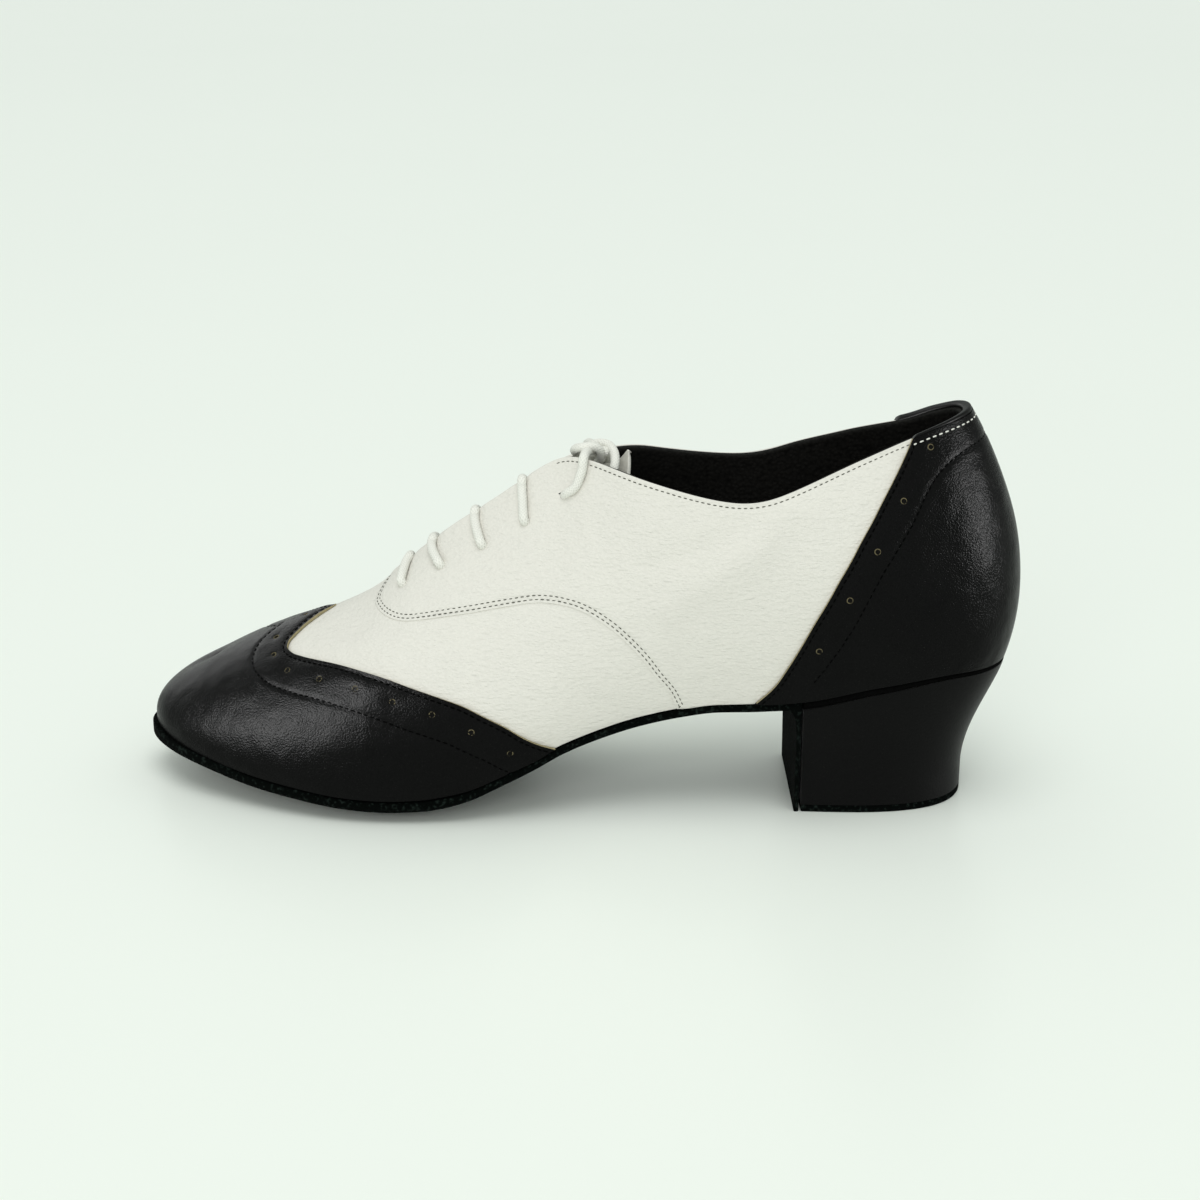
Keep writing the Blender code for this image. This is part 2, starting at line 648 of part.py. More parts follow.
def build_lace(look):
    """The lace: bars across the throat, the runs from the top holes, the knot and two tucked ends."""
    lift = LACE_DIAMETER / 2 + LACE_GAP
    for number, (rib, up, lean) in enumerate(LACE_HOLES, start=1):
        shares = np.linspace(up, 1.0, 5)
        outer, inner = lace_hold(np.linspace(rib, rib + lean, 5), shares, lift)
        add_tube(f"lace_bar_{number}", np.concatenate([outer, inner[::-1]]), look)
    outer, inner = lace_hold(*np.array(LACE_RUN).T, lift)
    for name, hold, rest in (("outer", outer, OUTER_RUN), ("inner", inner, INNER_RUN)):
        path = np.concatenate([hold, place(*np.array(rest).T)])
        add_tube(f"lace_run_{name}", through(path, 13), look)
    for name, rest in (("outer", OUTER_END), ("inner", INNER_END)):
        add_tube(f"lace_end_{name}", through(place(*np.array(rest).T), 10), look)
    add_knot(look)


def build():
    """Every piece of the shoe, each with the material it is made of."""
    clear_scene()
    white = material("white_leather", (0.80, 0.80, 0.76), 0.45)
    black = material("black_leather", (0.012, 0.012, 0.012), 0.35)
    suede = material("black_suede", (0.015, 0.018, 0.016), 0.95)
    board = material("insole_board", (0.03, 0.03, 0.03), 0.8)
    cotton = material("white_cotton", (0.75, 0.75, 0.72), 0.9)
    build_sole(suede)
    build_heel(black, suede)
    build_rand(black)
    build_insole(board)
    build_upper(white)
    build_wing(black)
    build_counter(black)
    build_binding(black)
    build_tongue(white)
    build_lace(cotton)


build()
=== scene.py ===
"""Looks of a left ballroom dance shoe: leather panels, stitches, punched holes, lace, sole and studio.

Inside the script lengths are millimetres, except for the light and the floor. Stations run forward from the
back of the heel seat, sideways places run to the inner side of the foot, and heights start at the floor.

A place on the upper is a rib number and a share up the wall. Ribs count from 0 at the middle of the back
along the outer side to 17 at the middle of the toe and on round the inner side. Shares run from 0 at the sole
to 1 at the collar, the facing or the ridge.
"""

import json
import math

import bmesh
import bpy
import numpy as np
from bpy.props import FloatProperty, FloatVectorProperty, PointerProperty
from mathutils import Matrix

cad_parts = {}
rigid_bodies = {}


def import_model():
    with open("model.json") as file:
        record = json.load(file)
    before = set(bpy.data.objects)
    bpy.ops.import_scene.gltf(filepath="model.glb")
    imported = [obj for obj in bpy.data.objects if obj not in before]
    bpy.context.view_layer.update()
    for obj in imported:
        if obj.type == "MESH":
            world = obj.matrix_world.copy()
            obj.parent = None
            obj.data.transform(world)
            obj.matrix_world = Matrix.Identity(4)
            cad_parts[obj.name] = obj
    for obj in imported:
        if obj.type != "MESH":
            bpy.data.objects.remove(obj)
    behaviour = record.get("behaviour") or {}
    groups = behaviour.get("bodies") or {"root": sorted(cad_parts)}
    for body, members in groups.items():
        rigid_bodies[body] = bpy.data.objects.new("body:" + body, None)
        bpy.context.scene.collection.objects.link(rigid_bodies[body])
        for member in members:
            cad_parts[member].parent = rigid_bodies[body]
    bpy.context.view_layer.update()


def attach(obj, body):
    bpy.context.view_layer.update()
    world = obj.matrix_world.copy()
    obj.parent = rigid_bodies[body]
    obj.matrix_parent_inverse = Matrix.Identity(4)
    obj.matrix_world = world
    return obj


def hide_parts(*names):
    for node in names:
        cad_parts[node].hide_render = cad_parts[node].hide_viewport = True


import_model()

bl_info = {
    "name": "Ballroom dance shoe",
    "version": (1, 0, 0),
    "blender": (4, 5, 0),
    "location": "View3D > Sidebar > Shoe",
    "description": "Dresses the frame of a left ballroom dance shoe and sets its studio",
    "category": "Object",
}

MM = 0.001

# Where the shoe lies in the frame
SEAT_BACK_X = 126.7
HEEL_AXIS_Y = -7.9

# The sole along the shoe: height of its underside, rise of its edges, thickness, ledge outside the upper
SOLE_COLUMNS = ("station", "underside", "edge_rise", "thickness", "ledge")
SOLE_PROFILE = (
    (-4.0, 42.2, 0.0, 1.0, 1.9),
    (15.0, 42.2, 0.0, 1.2, 1.9),
    (39.5, 38.4, 0.0, 1.9, 1.9),
    (61.0, 33.4, 0.0, 2.2, 1.5),
    (75.0, 32.1, 0.0, 2.2, 1.2),
    (86.0, 31.8, 0.0, 2.2, 1.0),
    (95.5, 30.3, 0.2, 2.2, 0.9),
    (107.5, 27.4, 0.5, 2.2, 0.8),
    (119.5, 23.3, 0.9, 2.2, 0.9),
    (130.5, 18.5, 1.3, 2.3, 1.1),
    (138.0, 14.1, 1.6, 2.5, 1.3),
    (148.5, 8.6, 2.1, 2.8, 1.5),
    (157.5, 4.2, 2.6, 3.0, 1.7),
    (165.5, 1.5, 3.3, 3.2, 1.8),
    (171.0, 0.55, 3.5, 3.2, 1.8),
    (182.0, 0.0, 3.6, 3.2, 1.8),
    (193.0, 0.5, 3.5, 3.2, 1.8),
    (206.5, 2.0, 3.3, 3.2, 1.8),
    (222.5, 4.6, 2.4, 3.2, 1.8),
    (240.5, 8.6, 1.4, 3.2, 2.3),
    (256.0, 11.7, 0.0, 3.2, 3.2),
)
SOLE_FLAT_SHARE = 0.45       # share of half the width that is flat
SOLE_EDGE_POWER = 1.6        # power of the way from there to the edge that the underside rises by
PLATE_ROUNDING = 0.03        # share of half a plate's width over which its edges are rounded
FOOT_GAP = 0.6               # from the sole's upper face to the foot of the wall

# The sole's flap down the heel's breast: front face, back face, half width
FLAP_COLUMNS = ("front", "front_height", "back", "back_height", "half")
FLAP = (
    (65.6, 32.6, 64.6, 35.0, 25.3),
    (63.9, 31.4, 62.2, 35.3, 25.3),
    (63.1, 28.6, 61.3, 34.6, 25.2),
    (62.7, 22.0, 61.3, 22.0, 24.2),
    (62.7, 11.0, 61.3, 11.0, 22.9),
    (62.7, 0.0, 61.3, 0.0, 22.0),
)
FLAP_MIDDLE = -0.3

# The heel: its breast, and the outline of its foot against its seat
BREAST_STATION = 61.0
HEEL_FOOT_BACK = 11.1
HEEL_FOOT_FRONT = 60.6
HEEL_FOOT_WIDTH = 0.86       # against the seat's width
HEEL_HOLLOW_END = 0.85       # share of the way down where the heel has drawn in to its foot's outline
HEEL_HOLLOW_POWER = 1.25     # power of the sine by which it draws in
HEEL_MIDDLE = 36.0           # station at the middle of the heel's foot
HEEL_SEAT_STATION = 20.0     # station whose ledge the whole seat has
SEAT_CLEARANCE = 0.1         # between the block and the layers over and under it
TOP_PIECE_WALL = 2.2
TOP_PIECE_REACH = 25.0       # half the length of the top piece
TOP_PIECE_EDGE = (           # height of each level of the top piece and how far its edge draws in there
    (0.0, 0.4), (0.3, 0.05), (1.1, 0.0), (1.9, 0.05), (TOP_PIECE_WALL, 0.3),
)

# The rand and the sock
RAND_ROUNDING = 0.02         # share of half its width over which the rand's edges are rounded
SOCK_GAP = 0.45              # from the sole's upper face to the sock
SOCK_WALL = 2.0
SOCK_INSET = 2.4             # how far the sock stays inside the upper's outline

# The last: one row for each rib of the wall, from the middle of the back to the middle of the toe.
# foot, outer, inner: where the rib leaves the sole on each side of the foot
# top, middle, half, height: where it ends, on the collar, the facing or the ridge of the vamp
# inner_rise: how much higher it ends on the inner side of the foot
# belly: the foot's handle, outward and upward; shoulder: the top's handle, outward and downward
RIB_COLUMNS = (
    "foot", "outer", "inner", "top", "middle", "half", "height", "inner_rise",
    "belly_out", "belly_up", "shoulder_out", "shoulder_drop",
)
RIBS = (
    (1.8, 0.0, 0.0, 15.0, 0.0, 0.0, 115.2, 0.0, 6.8, 22.0, 15.5, 26.0),
    (3.8, -9.2, 9.2, 16.6, 0.0, 6.2, 114.9, -0.4, 6.7, 22.0, 14.5, 26.0),
    (10.0, -17.3, 17.3, 22.0, 0.0, 11.5, 113.7, -1.5, 6.4, 22.0, 13.0, 26.0),
    (21.5, -22.8, 22.8, 31.5, 0.0, 16.2, 111.2, -3.0, 6.2, 22.0, 11.5, 26.0),
    (39.0, -25.0, 25.0, 47.5, 0.0, 21.5, 105.6, -1.9, 6.2, 22.0, 10.0, 25.0),
    (61.0, -24.2, 23.4, 64.0, 0.0, 25.0, 98.6, 0.0, 6.5, 21.0, 8.0, 22.0),
    (83.0, -23.6, 20.2, 80.0, 0.3, 26.0, 94.6, 1.0, 7.0, 20.0, 7.0, 20.0),
    (107.0, -24.0, 20.0, 104.0, 0.6, 20.0, 98.4, 0.8, 8.0, 22.0, 9.0, 21.0),
    (129.0, -25.8, 25.0, 121.0, 2.6, 11.0, 102.0, -2.0, 9.0, 26.0, 12.0, 20.0),
    (151.0, -28.5, 34.5, 133.0, 4.4, 4.8, 100.0, -3.2, 9.0, 26.0, 14.0, 17.0),
    (171.0, -30.2, 42.0, 149.0, 6.0, 4.0, 88.9, -2.8, 8.5, 25.0, 15.0, 15.0),
    (191.0, -29.0, 46.0, 167.0, 8.0, 3.0, 75.9, -1.6, 7.5, 22.0, 16.0, 12.0),
    (209.0, -24.0, 45.5, 183.0, 10.0, 0.0, 61.8, 0.0, 6.5, 19.0, 17.0, 7.0),
    (224.0, -17.0, 42.0, 197.5, 12.2, 0.0, 52.8, 0.0, 5.5, 16.0, 17.0, 4.5),
    (237.0, -9.0, 36.5, 212.5, 14.4, 0.0, 45.8, 0.0, 4.4, 13.0, 15.0, 4.0),
    (245.8, -1.0, 30.5, 223.5, 16.0, 0.0, 40.6, 0.0, 3.4, 11.0, 13.0, 4.5),
    (251.8, 8.0, 25.0, 230.5, 16.8, 0.0, 36.8, 0.0, 2.6, 9.5, 12.0, 5.0),
    (254.0, 17.0, 17.0, 233.0, 17.2, 0.0, 34.8, 0.0, 2.4, 9.0, 11.5, 5.2),
)
TOE = len(RIBS) - 1
LOOP = 2 * TOE
BREAST_RIB = 5.0             # where the heel's breast meets the wall
WAIST_END_RIB = 5.4          # where the sole's plate ends and its flap bends down
THROAT_RIB = 12.0            # where the throat ends and the ridge starts
COLLAR_END_RIB = 8.9         # where the collar's stitch row ends
COLLAR_GAP = 0.05            # ribs from the counter's edge to the start of that row
SMALL_STEP = 0.01            # step in ribs or shares for slopes
LINE_STEPS = 240             # places along a line on the wall
CREASE_STEPS = 60            # places along a crease
PRINT_STEPS = 20             # places along the trough under a lace bar

# Panel lines: the rib number that each line crosses at a share of the way up the wall
LINE_COLUMNS = ("up", "counter", "seam", "wing")
PANEL_LINES = (
    (0.00, 5.66, 6.59, 8.15),
    (0.10, 5.39, 6.70, 8.54),
    (0.19, 5.23, 6.87, 8.92),
    (0.29, 5.05, 7.08, 9.52),
    (0.40, 4.84, 7.46, 10.50),
    (0.46, 4.70, 7.84, 11.06),
    (0.51, 4.58, 8.37, 11.60),
    (0.56, 4.46, 9.34, 12.18),
    (0.60, 4.35, 10.22, 12.65),
    (0.64, 4.24, 10.98, 13.02),
    (0.70, 4.08, 11.42, 13.30),
    (0.76, 3.90, 11.69, 13.39),
    (0.83, 3.69, 11.90, 13.38),
    (0.90, 3.45, 11.97, 13.31),
    (1.00, 3.09, 12.00, 13.08),
)

# How far the face and the back of each sheet stand off the wall's own face
VAMP_LIFT = (0.0, -0.25)
QUARTER_LIFT = (0.7, -0.2)
WING_LIFT = (1.5, 0.2)
COUNTER_LIFT = (2.2, 0.9)
LINING_LIFT = (-1.8, -0.35)
LINING_RISE = 0.007          # share of the wall by which the lining stands above the quarters' rolled edge
LINING_FALL = (7.5, 8.5)     # ribs between which that rise falls away towards the facing
OVERLAY_FOOT = 0.004         # share up the wall where the overlays start, clear of the sole's ledge
TUCK_RIBS = 0.35             # how far a sheet runs on under its neighbour
VAMP_TUCK_END = (0.8, 0.98)  # shares up the wall between which the vamp's tuck under the quarters ends
SWELL = 0.05                 # height of the slow swells of hand-lasted leather
CUT_EDGE = 0.25              # how far a sheet's rim bulges, as a share of half its thickness
FOLDED_EDGE = 0.3
ROLLED_EDGE = 0.6
RIM_STEPS = 4                # faces from a sheet's face over its rim to its back
MERGE_DISTANCE = 0.003       # points of a piece closer than this are made one

# Stitch rows: distances in from a panel's edge
EDGE_ROW = 1.3
WING_INNER_ROW = 11.5
SEAM_ROWS = (0.8, 1.95)
COLLAR_ROW = 1.1
BINDING_ROW = 1.6
COUNTER_INNER_ROW = (        # rib and share up the wall: round the heel, then down beside the counter's edge
    (0.0, 0.911), (1.3, 0.908), (2.1, 0.893), (2.65, 0.855), (3.0, 0.795), (3.3, 0.71),
    (3.62, 0.62), (3.95, 0.51), (4.43, 0.296), (4.91, 0.09),
)

# Soft relief along the rows of each panel: row, depth and width. A rim is where the leather is pared thin
PANEL_RELIEF = {
    "wing": (("wing_rim", 0.5, 3.0), ("wing_edge", 0.15, 0.7), ("wing_inner", 0.3, 0.8)),
    "counter": (
        ("counter_rim", 0.5, 3.0), ("counter_edge", 0.15, 0.7),
        ("counter_inner", 0.3, 0.8), ("counter_top", 0.1, 0.7),
    ),
    "quarter": (
        ("seam_rim", 0.4, 2.2), ("seam_front", 0.1, 0.5), ("seam_back", 0.1, 0.5), ("collar", 0.1, 0.5),
    ),
}

# Creases of the white leather on the outer side: places along each, depth and width.
# A ridge has a depth below 0
CREASES = (
    (((5.94, 0.92), (6.51, 0.765), (7.03, 0.665)), 0.5, 4.0),
    (((5.26, 0.93), (6.26, 0.66), (6.76, 0.50)), -0.75, 5.0),
    (((7.86, 0.86), (9.36, 0.69), (10.59, 0.61), (11.96, 0.60)), -0.55, 5.0),
)
INNER_CREASE_SHARE = 0.6     # depth of the same creases on the inner side
LACE_PRINT = (0.65, 1.7)     # depth and width of the trough that each lace bar presses into the facing

# Punched holes: rib and share up the wall of each
WING_HOLES = (
    (13.66, 0.99), (13.80, 0.80), (13.42, 0.647), (12.81, 0.538), (12.03, 0.478),
    (11.32, 0.425), (10.69, 0.364), (10.06, 0.303), (9.40, 0.217), (8.77, 0.085),
)
COUNTER_HOLES = ((2.74, 0.951), (3.39, 0.803), (3.88, 0.644), (4.35, 0.468), (4.81, 0.261))
HOLE_DISH = (0.3, 1.2)       # depth and width of the dish round a punched hole
LACE_HOLE_DISH = (0.35, 1.6)

# The lace: rib number and share up the wall of each hole, from the bottom of the throat up, and how many
# ribs the bar over it leans towards the toe on its way up
LACE_HOLES = (
    (11.40, 0.833, 0.096),
    (10.77, 0.822, 0.288),
    (10.13, 0.816, 0.228),
    (9.45, 0.815, 0.12),
)
LACE_RUN = ((8.74, 0.849), (8.58, 0.856), (8.45, 0.868), (8.35, 0.888), (8.27, 0.920), (8.20, 0.955))
TUBE_END_RINGS = 3.0         # rings over which an end of the lace is rounded
# Each lace hole's dark disc is painted shade and shows round the lace as a dark crescent
LACE_HOLE_DIAMETER = 3.9
LACE_HOLE_DROP = 0.008       # share of the wall by which a hole shows below its lace

# The knot and the lace beyond it: stations, sideways places and heights of the path of each run
OUTER_RUN = ((124.2, -8.8, 103.2), (123.6, -6.0, 104.2), (122.9, -3.1, 104.0))
INNER_RUN = ((123.3, 14.4, 101.4), (122.6, 11.0, 102.9), (121.6, 5.0, 104.0))
OUTER_CROSSING = ((121.9, 0.4, 103.4), (120.5, 3.2, 102.8))
INNER_CROSSING = ((119.3, 3.4, 104.7),)
OUTER_END = ((118.9, 5.4, 102.0), (118.2, 7.6, 100.8), (117.6, 9.6, 99.0), (117.4, 10.8, 97.4))
INNER_END = (
    (117.0, 1.9, 104.5), (115.5, -1.0, 103.2), (115.2, -4.2, 101.0),
    (116.0, -6.8, 98.2), (116.7, -7.8, 96.2),
)
KNOT_TURNS = (               # the turn round both laces, a cut end and the strand under the turn
    (
        (124.6, 5.2, 101.2), (126.5, 3.0, 102.2), (126.6, 0.0, 103.8), (124.6, -2.7, 105.0),
        (121.6, -2.6, 105.2), (119.6, -1.2, 103.8), (119.2, 1.2, 101.0), (120.2, 3.4, 98.9),
    ),
    ((120.6, 0.6, 103.4), (118.8, 0.4, 103.3), (117.2, 0.6, 102.6)),
    ((121.9, 4.0, 101.8), (121.6, 6.4, 99.6), (121.6, 8.4, 96.8)),
)

# The ridge ahead of the throat, where both sides meet and the toe wing is evened out
RIDGE_FADE_RIBS = 0.5        # ribs behind the throat's end over which both sides' directions start to mix
RIDGE_FADE_UP = 0.85         # share up the wall from where they mix
RIDGE_ROWS = 16              # rows on either side of the ridge that are evened out
RIDGE_PASSES = 150
RIDGE_START = 0.45           # share of the wing's columns where the evening starts
RIDGE_GROWTH = 0.2           # share of its columns over which it grows to its full pull

# The rolled edge over the counter's top
BINDING_WIDTH = 2.7
BINDING_HEIGHT = 1.8         # at the back; it falls towards both ends
BINDING_END_SHARE = 0.5      # share of that height left at its ends
BINDING_POWER = 0.8          # power of the sine and cosine of its oval; 1 would be an ellipse
BINDING_OUT = 0.85           # its middle, off the wall's face
BINDING_SINK = 0.1           # how far it reaches below the rim of the wall
BINDING_TIP = 0.03           # share of half its length over which each end is rounded off

# The tongue: the rib under which it leaves the facings, and how far its tip then runs back and rises
TONGUE_DEPTH = 2.4           # below the wall's own face
TONGUE_WALL = 1.5
TONGUE_SHARES = (0.86, 0.92, 0.97, 1.0)
TONGUE_TURN_RIB = 8.9
TONGUE_TIP = ((7.0, -0.4), (13.0, 0.0), (16.5, 1.2), (19.0, 4.0))

# The camera that took the picture, and the middle of its view
CAMERA_ELEVATION = math.radians(18.5)
CAMERA_DISTANCE = 625.0
CAMERA_TARGET = (119.5, 0.0, 58.0)
CAMERA_LENS = 63.63
SENSOR_WIDTH = 36.0
NEAREST_SEEN = 0.01          # metres

# The light, in metres and degrees: a dim surround, two suns, and panels that only the black leathers see.
# Azimuths count from the front to the right
SURROUND_STRENGTH = 0.68
SUNS = (                     # name, strength, azimuth, elevation, width of the sun, seen by glossy faces
    ("overhead", 1.0, 0.0, 76.0, 45.0, True),
    ("front_fill", 0.95, -12.0, 18.0, 40.0, False),
)
PANELS = (                   # name, radiance, width, height, place that it shines on, azimuth, elevation
    ("left_panel", 55.0, 0.5, 0.8, (-0.08, -0.04, 0.025), -62.0, 25.0),
    ("right_panel", 170.0, 0.1, 0.7, (0.117, -0.03, 0.07), 75.0, 5.0),
    ("back_panel", 2.2, 0.9, 0.9, (-0.1, 0.0, 0.04), -145.0, 25.0),
)
SUN_DISTANCE = 2.0
PANEL_DISTANCE = 1.2
BLACK_LEATHERS = ("black_calf_leather", "heel_cover_leather", "burnished_black_leather")
FLOOR_REACH = 8.0            # metres from the shoe to the floor's edges

# Sockets of a node that mixes two colours
MIX_SHARE, MIX_FIRST, MIX_SECOND = 0, 6, 7
MIX_RESULT = 2

# Patterns of the leathers
DENT_SIZE = 9.0              # from one soft dent in the leather to the next
TINT_SIZE = 14.0             # from one patch of a slightly different tone to the next
PORE_SIZE = 0.6              # size of the pores against the grain's
PORE_DEPTH = 0.7             # depth of the pores against the grain's
LINE_SIZE = 1.6              # size of the drawn lines against the grain's
LINE_SCALE = (0.3, 0.5, 1.0)  # how close the drawn lines lie along, across and up the shoe


# Curves and tables

def columns_of(table, names):
    """A table of rows as one array for each named column."""
    return {name: np.array([row[k] for row in table], float) for k, name in enumerate(names)}


SOLE = columns_of(SOLE_PROFILE, SOLE_COLUMNS)
RIB = columns_of(RIBS, RIB_COLUMNS)
LINE = columns_of(PANEL_LINES, LINE_COLUMNS)
BREAST = columns_of(FLAP, FLAP_COLUMNS)


def unit(vectors):
    """Vectors divided by their own lengths."""
    return vectors / np.maximum(np.linalg.norm(vectors, axis=-1, keepdims=True), 1e-9)


def smooth_step(low, high, at):
    """0 below low, 1 above high, and 3t^2 - 2t^3 between them."""
    t = np.clip((at - low) / (high - low), 0, 1)
    return t * t * (3 - 2 * t)


def monotone(knots, values, at):
    """Cubic interpolation of a table, with weighted harmonic means as slopes, so it never overshoots."""
    steps = np.diff(knots)
    rises = np.diff(values) / steps
    same_way = rises[:-1] * rises[1:] > 0
    weight_a = 2 * steps[1:] + steps[:-1]
    weight_b = steps[1:] + 2 * steps[:-1]
    safe_a = np.where(same_way, rises[:-1], 1.0)
    safe_b = np.where(same_way, rises[1:], 1.0)
    mean = (weight_a + weight_b) / (weight_a / safe_a + weight_b / safe_b)
    slopes = np.concatenate([rises[:1], np.where(same_way, mean, 0.0), rises[-1:]])
    at = np.clip(at, knots[0], knots[-1])
    low = np.clip(np.searchsorted(knots, at, side="right") - 1, 0, len(steps) - 1)
    u = (at - knots[low]) / steps[low]
    return (
        values[low] * (1 + 2 * u) * (1 - u) ** 2
        + slopes[low] * steps[low] * u * (1 - u) ** 2
        + values[low + 1] * u * u * (3 - 2 * u)
        - slopes[low + 1] * steps[low] * u * u * (1 - u)
    )


def round_spline(values, at):
    """Closed cubic spline through values at whole rib numbers once round the shoe."""
    count = len(values)
    rows = np.arange(count)
    system = 4 * np.eye(count)
    system[rows, (rows + 1) % count] = 1
    system[rows, (rows - 1) % count] = 1
    bends = np.linalg.solve(system, 6 * (np.roll(values, -1) - 2 * values + np.roll(values, 1)))
    at = np.mod(at, count)
    low = np.floor(at).astype(int) % count
    high = (low + 1) % count
    u = at - np.floor(at)
    return (
        values[low] * (1 - u) + values[high] * u
        + (((1 - u) ** 3 - (1 - u)) * bends[low] + (u ** 3 - u) * bends[high]) / 6
    )


def through(points, count):
    """A path through points: a cubic between each two, with half their neighbours' span as slopes."""
    points = np.asarray(points, float)
    ends = np.concatenate([[2 * points[0] - points[1]], points, [2 * points[-1] - points[-2]]])
    at = np.linspace(0, len(points) - 1, count)
    low = np.minimum(at.astype(int), len(points) - 2)
    u = (at - low).reshape((-1,) + (1,) * (points.ndim - 1))
    a, b, c, d = ends[low], ends[low + 1], ends[low + 2], ends[low + 3]
    return b + 0.5 * u * (c - a + u * (2 * a - 5 * b + 4 * c - d + u * (3 * (b - c) + d - a)))


def lengths_along(path):
    """Distance of each point of a path from its start."""
    return np.concatenate([[0.0], np.cumsum(np.linalg.norm(np.diff(path, axis=0), axis=1))])


def place(station, side, height):
    """Points of the frame from stations, sideways places and heights."""
    return np.stack(np.broadcast_arrays(SEAT_BACK_X - station, HEEL_AXIS_Y + side, height), axis=-1)


# The shoe's own form

def sole_value(name, station):
    """A column of the sole's profile at a station."""
    return monotone(SOLE["station"], SOLE[name], station)


def underside(station, across):
    """Height of the sole's underside: flat in the middle, rising as a power of the way to the edge."""
    rise = np.clip((np.abs(across) - SOLE_FLAT_SHARE) / (1 - SOLE_FLAT_SHARE), 0, 1) ** SOLE_EDGE_POWER
    return sole_value("underside", station) + sole_value("edge_rise", station) * rise


def outline(rib):
    """Station and sideways place of the foot of a rib, and the outward direction there."""
    stations = np.concatenate([RIB["foot"], RIB["foot"][-2:0:-1]])
    sides = np.concatenate([RIB["outer"], RIB["inner"][-2:0:-1]])
    after, before = rib + SMALL_STEP, rib - SMALL_STEP
    forward = round_spline(stations, after) - round_spline(stations, before)
    inward = round_spline(sides, after) - round_spline(sides, before)
    size = np.hypot(forward, inward)
    return round_spline(stations, rib), round_spline(sides, rib), inward / size, -forward / size


def edge(rib, out):
    """Station and sideways place of the outline moved outward by a distance."""
    station, side, out_station, out_side = outline(rib)
    return station + out * out_station, side + out * out_side


def rib_value(name, rib):
    """A column of the rib table, the same on both sides of the shoe."""
    return round_spline(np.concatenate([RIB[name], RIB[name][-2:0:-1]]), rib)


def exact_value(name, rib, mirror):
    """A column of the rib table without overshoot, so that its zeros stay zeros; mirrored at the back."""
    knots = np.arange(-1, TOE + 1).astype(float)
    values = np.concatenate([[mirror * RIB[name][1]], RIB[name]])
    return monotone(knots, values, np.minimum(rib, LOOP - rib))


def wall(rib, up):
    """The wall's own face: a four-point Bezier curve from the foot of a rib to its top."""
    rib = np.mod(rib, LOOP)
    station, side, out_station, out_side = outline(rib)
    floor = underside(station, 1.0) + sole_value("thickness", station) + FOOT_GAP
    hand = np.where(rib <= TOE, -1.0, 1.0)
    height = rib_value("height", rib) + np.where(hand > 0, exact_value("inner_rise", rib, 1.0), 0.0)
    foot = place(station, side, floor)
    half = exact_value("half", rib, -1.0)
    top = place(rib_value("top", rib), rib_value("middle", rib) + hand * half, height)
    outward = np.stack([-out_station, out_side, np.zeros_like(out_side)], axis=-1)
    upward = np.array([0.0, 0.0, 1.0])
    belly = (
        foot + outward * rib_value("belly_out", rib)[..., None]
        + upward * rib_value("belly_up", rib)[..., None]
    )
    shoulder = (
        top + outward * rib_value("shoulder_out", rib)[..., None]
        - upward * rib_value("shoulder_drop", rib)[..., None]
    )
    u = np.asarray(up, float)[..., None]
    return (1 - u) ** 3 * foot + 3 * u * (1 - u) ** 2 * belly + 3 * u * u * (1 - u) * shoulder + u ** 3 * top


def wall_normal(rib, up):
    """Outward direction of the wall, from the cross product of its two slopes."""
    up = np.minimum(up, 1 - 2 * SMALL_STEP)
    along = wall(rib + SMALL_STEP, up) - wall(rib - SMALL_STEP, up)
    above = wall(rib, up + SMALL_STEP) - wall(rib, up - SMALL_STEP)
    return unit(np.cross(above, along))


def skin_normal(rib, up):
    """Outward direction of the wall, with both sides' directions mixed at the ridge ahead of the throat."""
    rib = np.mod(rib, LOOP)
    behind = THROAT_RIB - np.minimum(rib, LOOP - rib)
    ahead = np.clip(1 - behind / RIDGE_FADE_RIBS, 0, 1)
    share = (0.5 * ahead * smooth_step(RIDGE_FADE_UP, 1.0, up))[..., None]
    return unit(wall_normal(rib, up) * (1 - share) + wall_normal(LOOP - rib, up) * share)


def skin(rib, up, lift):
    """The wall's face moved outward by a lift."""
    return wall(rib, up) + np.asarray(lift)[..., None] * skin_normal(rib, up)


def panel_line(name, up):
    """Rib number of a panel's edge at a share of the way up the wall."""
    return monotone(LINE["up"], LINE[name], up)


# Grids of places on the upper

def over_grid(start, end, up, columns):
    """Ribs and shares of a panel over the ridge: columns from start to end, rows from foot to foot."""
    way = np.linspace(0, 1, columns)[:, None]
    outer = start + (end - start) * way
    ribs = np.concatenate([outer, LOOP - outer[:, -2::-1]], axis=1)
    return ribs, np.broadcast_to(np.concatenate([up, up[-2::-1]]), ribs.shape)


def side_grid(start, end, up, columns):
    """Ribs and shares of a panel on one side: columns from start to end, rows up the wall."""
    ribs = start + (end - start) * np.linspace(0, 1, columns)[:, None]
    return ribs, np.broadcast_to(up, ribs.shape)


